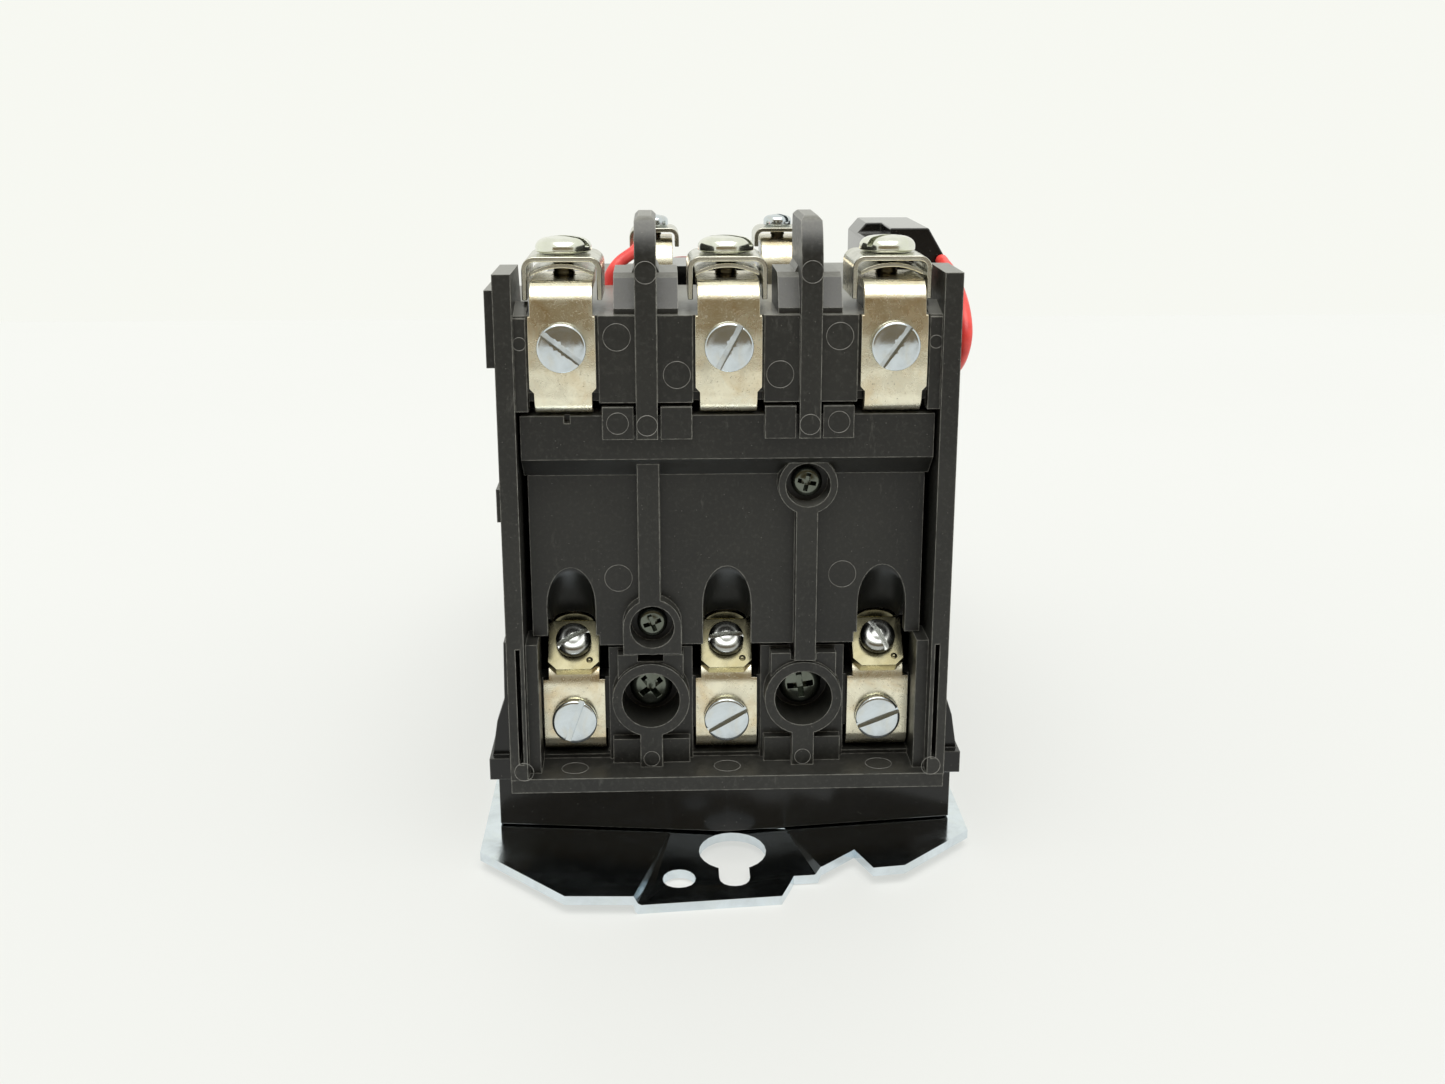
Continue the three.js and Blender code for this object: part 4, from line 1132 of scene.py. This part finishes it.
@dataclass
class LoadTerminals:
    """The three lower terminals: straps with a tilted face, clamp plates and screws."""

    thickness: float = 1.6
    width: float = 11.2
    clamp_thickness: float = 1.6
    terminal_turns: tuple[float, ...] = (28.0, 5.0, -62.0)
    strap_turns: tuple[float, ...] = (70.0, 30.0, 22.0)

    def slope(self, pole: int) -> Vector:
        """Find the middle of the clamp plate's upper face from its box."""
        centre = middle(f"load_clamp_plate_{pole}")
        root = math.sqrt(0.5)
        across, up = Vector((0.0, root, root)), Vector((0.0, -root, root))
        return centre + 0.5 * across + 0.5 * self.clamp_thickness * up

    def strap(self, pole: int) -> None:
        """Make one load strap, bent at its foot, its shoulder and inside the chamber.

        Args:
            pole: Pole number.
        """
        node = f"load_strap_{pole}"
        low, high = corners(node)
        centre = (low.x + high.x) / 2.0
        face, foot = low.y + self.thickness / 2.0, low.z + self.thickness / 2.0
        route = [(low.y + 5.0, foot), (face, foot), (face, low.z + 14.8), (low.y + 10.2, low.z + 24.2),
                 (low.y + 10.2, high.z)]
        outline = bent_outline(route, (2.4, 5.0, 3.0), self.thickness)
        piece = extrude(node + "_fine", outline, centre - self.width / 2.0, centre + self.width / 2.0)
        cutters = []
        for side in (-1.0, 1.0):
            xs = sorted((centre + side * 4.6, centre + side * self.width))
            cutters.append(block("neck", (xs[0], low.y - 2.0, low.z + 14.3),
                                 (xs[1], high.y + 4.0, high.z + 4.0)))
        combine(piece, cutters, "DIFFERENCE")
        rounded(piece, 0.22, 2, 35.0)
        dress(piece, Palette.TIN, Body.FRAME, node)
        contact_z = corners(f"bridge_contact_{pole}")[0].z + TIP_INSET
        ContactTip(f"load_tip_{pole}", Vector((centre, high.y, contact_z)), 1.0, Body.FRAME).build()

    def clamp(self, pole: int) -> None:
        """Make one clamp plate with its two cut corners and a locating pip.

        Args:
            pole: Pole number.
        """
        node = f"load_clamp_plate_{pole}"
        outline = [(-4.7, 4.4), (-4.7, -3.9), (-3.2, -5.4), (3.2, -5.4), (4.7, -3.9), (4.7, 4.4)]
        piece = extrude(node + "_fine", outline, -self.clamp_thickness, 0.0, "z")
        edge = [(-4.7, -3.4), (-4.7, -3.9), (-3.2, -5.4), (3.2, -5.4), (4.7, -3.9), (4.7, -3.4)]
        lip = extrude("lip", edge, -self.clamp_thickness - 0.8, -0.5, "z")
        pip = lathe("pip", [(0.0, -0.5), (0.55, -0.5), (0.5, 0.25), (0.0, 0.45)], 16)
        pip.data.transform(Matrix.Translation(Vector((2.9, -3.6, 0.0)) * MM))
        combine(piece, [lip, pip], "UNION")
        rounded(piece, 0.16, 2, 35.0)
        place(piece, self.slope(pole), Facing.TILTED)
        # The plate's dark chromate is painted shade from the hood above it.
        dress(piece, Palette.SHADED_CHROMATE, Body.FRAME, node)
        piece.data.materials.append(Palette.material(Palette.CUT_EDGE))
        for polygon in piece.data.polygons:
            polygon.material_index = int(polygon.normal.z < 0.5)
        self.tab(pole)

    def tab(self, pole: int) -> None:
        """Make the curved tab that stands at the back of one clamp plate.

        Args:
            pole: Pole number.
        """
        node = f"load_clamp_plate_{pole}"
        low, high = corners(node)
        centre = (low.x + high.x) / 2.0
        half, rise, steps = 3.75, 1.75, 20
        outline = []
        for step in range(steps + 1):
            angle = math.pi * step / steps
            outline.append((centre + half * math.cos(angle), high.z - 0.4 + rise * math.sin(angle)))
        outline += [(centre - half, high.z - 1.3), (centre + half, high.z - 1.3)]
        back = high.y - 0.15
        piece = extrude(f"clamp_tab_{pole}", outline, back - 0.8, back, "y")
        rounded(piece, 0.2, 2, 35.0)
        # The tab's dark chromate is painted shade from the hood above it.
        dress(piece, Palette.SHADED_CHROMATE, Body.FRAME)

    def build(self) -> None:
        """Make all three terminals."""
        up = Vector((0.0, -math.sqrt(0.5), math.sqrt(0.5)))
        for index, pole in enumerate(POLES):
            self.strap(pole)
            self.clamp(pole)
            seat = self.slope(pole) + 0.3 * up
            # The tilted screws' dark steel is painted shade from the hood above them.
            Screw(f"load_terminal_screw_{pole}", 3.2, 2.6, 1.1, 1.6, 5.5, Drive.SLOT,
                  self.terminal_turns[index], Facing.TILTED, seat, Palette.HOOD_SHADED_STEEL, 0.35).build()
            strap_screw(f"load_strap_screw_{pole}", self.strap_turns[index])
            LOG.info("load terminal %d", pole)


@dataclass
class HousingScrews:
    """The cross-recessed screws that hold the arc cover and the contact board."""

    turns: tuple[float, ...] = (20.0, -12.0, 38.0, 8.0)

    def build(self) -> None:
        """Make the four screws."""
        sizes = {"cover": (2.7, 1.7, 0.8, 1.2, 8.0), "base": (3.9, 2.4, 1.2, 1.8, 8.0)}
        names = [(kind, number) for kind in sizes for number in (1, 2)]
        for (kind, number), turn in zip(names, self.turns):
            radius, height, rim, shank, length = sizes[kind]
            node = f"{kind}_screw_{number}"
            # The heads' dark chromate is painted shade of their wells.
            Screw(node, radius, height, rim, shank, length, Drive.CROSS, turn, Facing.LINE_END,
                  seat_below(node, Facing.LINE_END, height), Palette.WELL_SHADED_SCREW).build()
        LOG.info("housing screws")


@dataclass
class Hoods:
    """The smooth half-round guides that lead a screwdriver in to the load terminals.

    Attributes:
        thickness: Thickness of the guide's wall.
        face_depth: From the straps' outer face back to the guide's near end.
        mouth_depth: From the straps' outer face back to its inner mouth.
    """

    thickness: float = 0.3
    face_depth: float = 7.7
    mouth_depth: float = 14.35

    def arc(self, share: float, offset: float) -> list[tuple[float, float, float]]:
        """Give one cross-section of a guide.

        Args:
            share: 0 at the cover's face and 1 at the inner mouth.
            offset: How far outside the inner surface it lies.

        Returns:
            Points from one side over the top to the other, about the pole's centre.
        """
        low = corners("line_strap_2")[0].y
        depth = low + self.face_depth + (self.mouth_depth - self.face_depth) * share
        blend = share ** 0.9
        section = []
        for step in range(25):
            angle = math.pi * step / 24
            across, up = math.cos(angle), math.sin(angle)
            outer = Vector(((4.2 + offset) * across, 48.5 + (7.0 + offset) * up))
            inner = Vector(((3.9 + offset) * across, 43.3 + (1.8 + offset) * up))
            x, z = outer.lerp(inner, blend)
            section.append((x, depth, z))
        return section

    def build(self) -> None:
        """Make the three guides."""
        rows = 12
        for pole in POLES:
            x = middle(f"load_strap_{pole}").x
            points: list[Vector] = []
            rings = []
            for row in range(rows + 1):
                inner = self.arc(row / rows, 0.0)
                outer = self.arc(row / rows, self.thickness)[::-1]
                rings.append(list(range(len(points), len(points) + len(inner) * 2)))
                points += [Vector(p) + Vector((x, 0.0, 0.0)) for p in inner + outer]
            count = len(rings[0])
            faces = [tuple(rings[0]), tuple(rings[-1])]
            for near, far in zip(rings, rings[1:]):
                faces += [(near[i], near[(i + 1) % count], far[(i + 1) % count], far[i]) for i in range(count)]
            piece = smoothed(from_faces(f"screwdriver_guide_{pole}", points, faces))
            piece.data.set_sharp_from_angle(angle=math.radians(50.0))
            dress(piece, Palette.GUIDE, Body.FRAME)
        LOG.info("screwdriver guides")


@dataclass
class PinMarks:
    """The round marks that the mould's ejector pins leave, as thin raised rings.

    Attributes:
        wire: Radius of the raised line.
    """

    wire: float = 0.06

    def ring(self, centre: Vector, radius: float, flat: bool = False) -> None:
        """Add one ring to the set.

        Args:
            centre: Middle of the ring.
            radius: Its radius.
            flat: True on a level face.
        """
        major, minor = 40, 6
        points, faces = self.points, self.faces
        start = len(points)
        for i in range(major):
            angle = 2.0 * math.pi * i / major
            for j in range(minor):
                around = 2.0 * math.pi * j / minor
                reach = radius + self.wire * math.cos(around)
                rise = self.wire * math.sin(around)
                u, v = reach * math.cos(angle), reach * math.sin(angle)
                points.append(centre + (Vector((u, v, rise)) if flat else Vector((u, rise, v))))
        for i in range(major):
            for j in range(minor):
                a, b = start + i * minor + j, start + i * minor + (j + 1) % minor
                c, d = (start + (i + 1) % major * minor + (j + 1) % minor, start + (i + 1) % major * minor + j)
                faces.append((a, b, c, d))

    def build(self) -> None:
        """Make every ring as one piece on the frame."""
        self.points: list[Vector] = []
        self.faces: list[tuple[int, ...]] = []
        board_low, _ = corners("contact_board")
        strap = corners("line_strap_2")[0].y
        panel, fin = strap + 1.2, strap
        board = ((18.7, panel, 97.4, 2.3), (8.7, panel, 91.0, 2.3), (34.9, strap + 1.0, 96.4, 1.1),
                 (13.8, fin, 108.2, 1.85), (13.8, fin, 82.6, 1.75), (36.6, strap, 19.6, 1.7))
        for side in (-1.0, 1.0):
            for x, face, z, radius in board:
                self.ring(Vector((side * x, face, z)), radius)
        cover = corners("arc_cover")[0].y
        for x, z, radius in ((-18.8, 82.8, 1.85), (18.8, 82.8, 1.85), (-19.3, 53.6, 2.45), (20.6, 53.9, 2.45)):
            self.ring(Vector((x, cover if z > 80 else cover + 6.0, z)), radius)
        for x in (-13.8, 13.8):
            self.ring(Vector((x, strap + 5.0, 19.6)), 1.45)
        for x in (-27.8, 0.0, 27.8):
            self.ring(Vector((x, board_low.y + 5.0, 18.0)), 2.4, True)
        dress(smoothed(from_faces("pin_marks", self.points, self.faces)), Palette.MARK, Body.FRAME)
        LOG.info("pin marks")


def tube(name: str, route: Sequence[Vector], radius: float) -> bpy.types.Object:
    """Make a round wire along a smooth route.

    Args:
        name: The piece's name.
        route: Points in millimetres.
        radius: Radius of the wire.

    Returns:
        The wire as a mesh.
    """
    curve = bpy.data.curves.new(name, "CURVE")
    curve.dimensions = "3D"
    curve.bevel_depth = radius * MM
    curve.bevel_resolution = 4
    curve.resolution_u = 10
    curve.use_fill_caps = True
    spline = curve.splines.new("NURBS")
    spline.points.add(len(route) - 1)
    for point, stop in zip(spline.points, route):
        point.co = (*(stop * MM), 1.0)
    spline.order_u = 4
    spline.use_endpoint_u = True
    draft = bpy.data.objects.new(name + "_draft", curve)
    bpy.context.scene.collection.objects.link(draft)
    bpy.context.view_layer.update()
    mesh = bpy.data.meshes.new_from_object(draft.evaluated_get(bpy.context.evaluated_depsgraph_get()))
    bpy.data.objects.remove(draft)
    return smoothed(link(name, mesh))


@dataclass
class Leads:
    """The two red leads, along the routes that their CAD nodes hold."""

    shift: float = -77.0
    radius: float = 1.2
    coil: tuple[tuple[float, float, float], ...] = (
        (-14.6, 51.6, 109.3), (-15.2, 51.6, 108.4), (-16, 51.5, 106.9), (-19.4, 48.6, 104.6),
        (-21.3, 48, 101), (-21.5, 48, 93.2))
    aux: tuple[tuple[float, float, float], ...] = (
        (43, 44.6, 105.4), (43.6, 36, 103.4), (44, 26, 99), (43.9, 21.6, 94),
        (43.2, 25, 88.5), (41.8, 35, 84), (40.8, 43, 82.4), (38.6, 46.6, 82), (34.7, 47.4, 82))

    def smooth(self, points: Sequence[Sequence[float]]) -> list[Vector]:
        """Pass a curve through the points.

        Args:
            points: The route's points, measured from the straps' outer face.

        Returns:
            Closely spaced points in the row frame.
        """
        route = [Vector(p) + Vector((0.0, self.shift, 0.0)) for p in points]
        result = []
        ends = [route[0] * 2 - route[1], *route, route[-1] * 2 - route[-2]]
        for a, b, c, d in zip(ends, ends[1:], ends[2:], ends[3:]):
            for step in range(6):
                t = step / 6.0
                result.append(0.5 * (2 * b + (c - a) * t + (2 * a - 5 * b + 4 * c - d) * t * t
                                     + (3 * b - a - 3 * c + d) * t ** 3))
        result.append(route[-1])
        return result

    def build(self) -> None:
        """Make both leads."""
        for node, points in (("coil_lead", self.coil), ("aux_lead", self.aux)):
            piece = tube(node + "_fine", self.smooth(points), self.radius)
            dress(piece, Palette.RED, Body.FRAME, node)
        LOG.info("leads")


@dataclass
class Springs:
    """The contact springs and the return spring, each with a mesh of its own; nothing here shortens them as
    their joints move.
    """

    def helix(self, node: str, wire: float, turns: float) -> bpy.types.Object:
        """Make a spring that fills its node's box, with closed end coils.

        Args:
            node: The CAD node.
            wire: Radius of the wire.
            turns: Number of turns.

        Returns:
            The spring.
        """
        low, high = corners(node)
        centre = (low + high) / 2.0
        radius = (high.z - low.z) / 2.0 - wire
        count = int(turns * 20)
        route = []
        for step in range(count + 1):
            share = step / count
            angle = 2.0 * math.pi * turns * share
            eased = share - 0.35 * math.sin(2.0 * math.pi * share) / (2.0 * math.pi)
            y = low.y + wire + (high.y - low.y - 2.0 * wire) * eased
            route.append(Vector((centre.x + radius * math.cos(angle), y, centre.z + radius * math.sin(angle))))
        return tube(node + "_fine", route, wire)

    def build(self) -> None:
        """Make the four springs."""
        for pole in POLES:
            node = f"contact_spring_{pole}"
            piece = self.helix(node, 0.4, 5.5)
            dress(piece, Palette.SPRING, Body.CARRIER, node)
            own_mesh(piece)
        piece = self.helix("return_spring", 0.5, 6.5)
        dress(piece, Palette.SPRING, Body.FRAME, "return_spring")
        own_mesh(piece)
        LOG.info("springs")


@dataclass
class Bridges:
    """The moving bridge contacts with their silver tips."""

    def build(self) -> None:
        """Make the three bridges."""
        for pole in POLES:
            node = f"bridge_contact_{pole}"
            body = Body(f"bridge_{pole}")
            low, high = corners(node)
            front, back = low.y + 1.4, high.y
            piece = block(node + "_fine", (low.x, front, low.z), (high.x, back, high.z))
            rounded(piece, 0.5, 3, 35.0)
            dress(piece, Palette.COPPER, body, node)
            centre = (low.x + high.x) / 2.0
            for name, z in (("low", low.z + TIP_INSET), ("high", high.z - TIP_INSET)):
                ContactTip(f"bridge_tip_{name}_{pole}", Vector((centre, low.y, z)), -1.0, body).build()
        LOG.info("bridges")


@dataclass
class CoilTerminals:
    """The two coil terminals with their small saddle clamps and screws."""

    turns: tuple[float, ...] = (35.0, -50.0)

    def build(self) -> None:
        """Make both terminals."""
        for number, turn in zip((1, 2), self.turns):
            node = f"coil_terminal_{number}"
            low, high = corners(node)
            half = 0.6
            pad, face = high.z - half, low.y + half
            outline = bent_outline([(high.y, pad), (face, pad), (face, low.z)], (5.0,), 1.2, 20)
            strap = extrude(node + "_fine", outline, low.x, high.x)
            rounded(strap, 0.2, 2, 35.0)
            dress(strap, Palette.TIN, Body.FRAME, node)
            self.clamp(f"coil_terminal_screw_{number}", turn)
        pad = corners("coil_terminal_1")
        x, y, z = pad[0].x, pad[0].y, pad[1].z
        wire = [Vector((x + 1.4, y - 0.8, z + 0.7)), Vector((x + 1.5, y + 3.0, z + 0.66)),
                Vector((x + 1.8, y + 7.0, z + 0.64)), Vector((x + 2.0, pad[1].y - 3.0, z + 0.64))]
        dress(tube("bare_end", wire, 0.55), Palette.COPPER, Body.FRAME)
        LOG.info("coil terminals")

    def clamp(self, node: str, turn: float) -> None:
        """Make one screw and its captive saddle.

        Args:
            node: The CAD node of the two together.
            turn: Turn of the screw's slot.
        """
        low, high = corners(node)
        centre = (low + high) / 2.0
        sheet = 0.8
        side = (high.x - low.x) / 2.0 - sheet / 2.0
        seat = high.z - 2.2
        top = seat - 0.15 - sheet / 2.0
        legs = seat - 3.8
        left, right = centre.x - side, centre.x + side
        route = [(left, legs), (left, top), (right, top), (right, legs)]
        outline = bent_outline(route, (1.4, 1.4), sheet, 8)
        saddle = extrude(node + "_saddle", outline, centre.y - 5.0, centre.y + 5.0, "y")
        rounded(saddle, 0.14, 2, 35.0)
        dress(saddle, Palette.NICKEL, Body.FRAME)
        Screw(node, 2.8, 2.2, 1.0, 1.4, 6.0, Drive.SLOT, turn, Facing.UP,
              Vector((centre.x, centre.y, seat))).build()


@dataclass
class ResetButton:
    """The reset button with a dished cap."""

    node: str = "reset_button"

    def build(self) -> None:
        """Make the button."""
        low, high = corners(self.node)
        centre = (low + high) / 2.0
        radius = (high.x - low.x) / 2.0
        tall = high.z - low.z
        profile = [(0.0, 0.0), (radius - 0.3, 0.0), (radius, 0.3), (radius, tall - 1.1),
                   (radius - 0.15, tall - 0.6), (radius - 0.6, tall - 0.15), (radius - 1.2, tall),
                   (radius - 1.6, tall - 0.1), (0.0, tall - 0.55)]
        piece = lathe(self.node + "_fine", profile, 64)
        rounded(piece, 0.08, 1, 50.0)
        place(piece, Vector((centre.x, centre.y, low.z)))
        dress(piece, Palette.RESET, Body.RESET, self.node)
        LOG.info("reset button")


@dataclass
class Heaters:
    """The overload heaters: a wound element between two screwed lugs."""

    def build(self) -> None:
        """Make the three heaters."""
        for pole in POLES:
            node = f"heater_{pole}"
            low, high = corners(node)
            centre = (low + high) / 2.0
            axis_z = high.z - 3.2
            route = []
            for step in range(0, 141):
                angle = 2.0 * math.pi * 7.0 * step / 140
                x = centre.x - 4.6 + 9.2 * step / 140
                route.append(Vector((x, centre.y + 2.6 * math.cos(angle), axis_z + 2.6 * math.sin(angle))))
            winding = tube(node + "_winding", route, 0.5)
            dress(winding, Palette.COPPER, Body.FRAME)
            core = lathe(node + "_core", [(0, -7.4), (1.9, -7.4), (1.9, 7.4), (0, 7.4)], 32)
            core.data.transform(Matrix.Rotation(math.pi / 2.0, 4, "Y"))
            core.data.transform(Matrix.Translation(Vector((centre.x, centre.y, axis_z)) * MM))
            rounded(core, 0.2)
            dress(core, Palette.TAPE, Body.FRAME, node)
            for side in (-1.0, 1.0):
                xs = sorted((centre.x + side * 5.0, centre.x + side * 9.4))
                end = "a" if side < 0 else "b"
                lug = block(f"{node}_lug_{end}", (xs[0], low.y, low.z), (xs[1], high.y, low.z + 1.4))
                near, far = sorted((centre.x + side * 6.0, centre.x + side * 7.4))
                post = block("post", (near, centre.y - 2.4, low.z + 1.0), (far, centre.y + 2.4, axis_z + 2.6))
                combine(lug, [post], "UNION")
                rounded(lug, 0.18)
                dress(lug, Palette.TIN, Body.FRAME)
        LOG.info("heaters")


@dataclass
class LoadLugs:
    """The tinned lugs and screws in the pockets at the overload relay's far end."""

    turns: tuple[float, ...] = (15.0, -35.0, 60.0)

    def build(self) -> None:
        """Make the three lugs with their screws."""
        _, high = corners("overload_housing")
        for pole, turn in zip(POLES, self.turns):
            x = middle(f"heater_{pole}").x
            floor, back = 72.3, high.y
            inner, pad = back - 15.3, floor + 0.8
            outline = bent_outline([(inner, floor + 5.5), (inner, pad), (back - 1.2, pad)], (1.8,), 1.6)
            lug = extrude(f"load_lug_{pole}", outline, x - 5.6, x + 5.6)
            rounded(lug, 0.22, 2, 35.0)
            dress(lug, Palette.TIN, Body.FRAME)
            left, right, foot, top = x - 5.2, x + 5.2, floor + 2.2, floor + 5.4
            outline = bent_outline([(left, foot), (left, top), (right, top), (right, foot)], (1.2, 1.2), 0.9)
            plate = extrude(f"lug_clamp_{pole}", outline, back - 12.8, back - 2.6, "y")
            rounded(plate, 0.14, 2, 35.0)
            dress(plate, Palette.NICKEL, Body.FRAME)
            Screw(f"lug_screw_{pole}", 4.2, 2.4, 0.8, 1.8, 5.0, Drive.SLOT, turn, Facing.UP,
                  Vector((x, back - 7.7, floor + 5.95)), Palette.PALE_SCREW, in_cad=False).build()
        LOG.info("load lugs")


# ------------------------------------------------------------------ studio


@dataclass
class Studio:
    """A pale floor, soft light and the camera."""

    camera_place: tuple[float, float, float] = (-11.5, -338.75, 137.2)
    camera_tilt: float = 16.0
    camera_turn: float = 2.28
    lens: float = 39.36

    def floor(self) -> None:
        """Lay the pale floor, which ends behind the object, and stand a dim card in front of it."""
        mesh = bpy.data.meshes.new("floor")
        mesh.from_pydata([(-3, -1.6, 0), (3, -1.6, 0), (3, 0.646, 0), (-3, 0.646, 0)], [], [(0, 1, 2, 3)])
        floor = link("floor", mesh)
        bench = NodeBench("pale_floor")
        cloud = bench.noise(0.004, 3.0, 0.5)
        bench.set(Base_Color=bench.mix(cloud, (0.235, 0.237, 0.233), (0.255, 0.257, 0.253)), Roughness=0.6,
                  Emission_Color=(0.93, 0.94, 0.90), Emission_Strength=0.56)
        mesh.materials.append(bench.material)
        shade = bpy.data.meshes.new("card")
        outline = [(-0.6, -0.7, 0.02), (0.6, -0.7, 0.02), (0.6, -0.7, 0.42), (-0.6, -0.7, 0.42)]
        shade.from_pydata(outline, [], [(0, 1, 2, 3)])
        card = link("card", shade)
        bench = NodeBench("dim_card")
        cloud = bench.noise(0.01, 3.0, 0.5)
        bench.set(Base_Color=bench.mix(cloud, (0.24, 0.175, 0.095), (0.17, 0.13, 0.08)), Roughness=0.8)
        shade.materials.append(bench.material)
        card.visible_camera = False

    def light(self, name: str, spot: Sequence[float], aim: Sequence[float], size: float, power: float) -> None:
        """Hang one soft light.

        Args:
            name: The light's name.
            spot: Where it hangs, in metres.
            aim: The point it faces.
            size: Side of its square.
            power: Its power in watts.
        """
        data = bpy.data.lights.new(name, "AREA")
        data.size = size
        data.energy = power
        lamp = bpy.data.objects.new(name, data)
        bpy.context.scene.collection.objects.link(lamp)
        lamp.location = spot
        lamp.rotation_euler = (Vector(aim) - Vector(spot)).to_track_quat("-Z", "Y").to_euler()

    def camera(self) -> None:
        """Place the camera."""
        data = bpy.data.cameras.new("camera")
        data.sensor_width = 36.0
        data.lens = self.lens
        data.clip_start = 0.01
        camera = bpy.data.objects.new("camera", data)
        bpy.context.scene.collection.objects.link(camera)
        camera.location = Vector(self.camera_place) * MM
        camera.rotation_euler = (math.radians(90.0 - self.camera_tilt), 0.0, math.radians(-self.camera_turn))
        bpy.context.scene.camera = camera

    def build(self) -> None:
        """Set up the world, floor, lights and camera."""
        world = bpy.data.worlds.new("studio")
        bpy.context.scene.world = world
        world.use_nodes = True
        sky = world.node_tree.nodes["Background"]
        sky.inputs["Color"].default_value = (0.93, 0.94, 0.885, 1.0)
        sky.inputs["Strength"].default_value = 1.0
        bpy.context.scene.view_settings.view_transform = "Standard"
        self.floor()
        self.light("overhead", (0.0, -1.2, 3.0), (0.0, -0.05, 0.05), 2.8, 80.0)
        self.camera()


def main() -> None:
    """Build the starter's looks in order."""
    logging.basicConfig(level=logging.INFO, format="%(name)s: %(message)s")
    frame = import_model()
    Studio().build()
    Housings().build(frame["nodes"])
    for assembly in (LineTerminals, LoadTerminals, HousingScrews, Hoods, PinMarks, Leads, Springs, Bridges,
                     CoilTerminals, ResetButton, Heaters, LoadLugs):
        assembly().build()


if __name__ == "__main__":
    main()
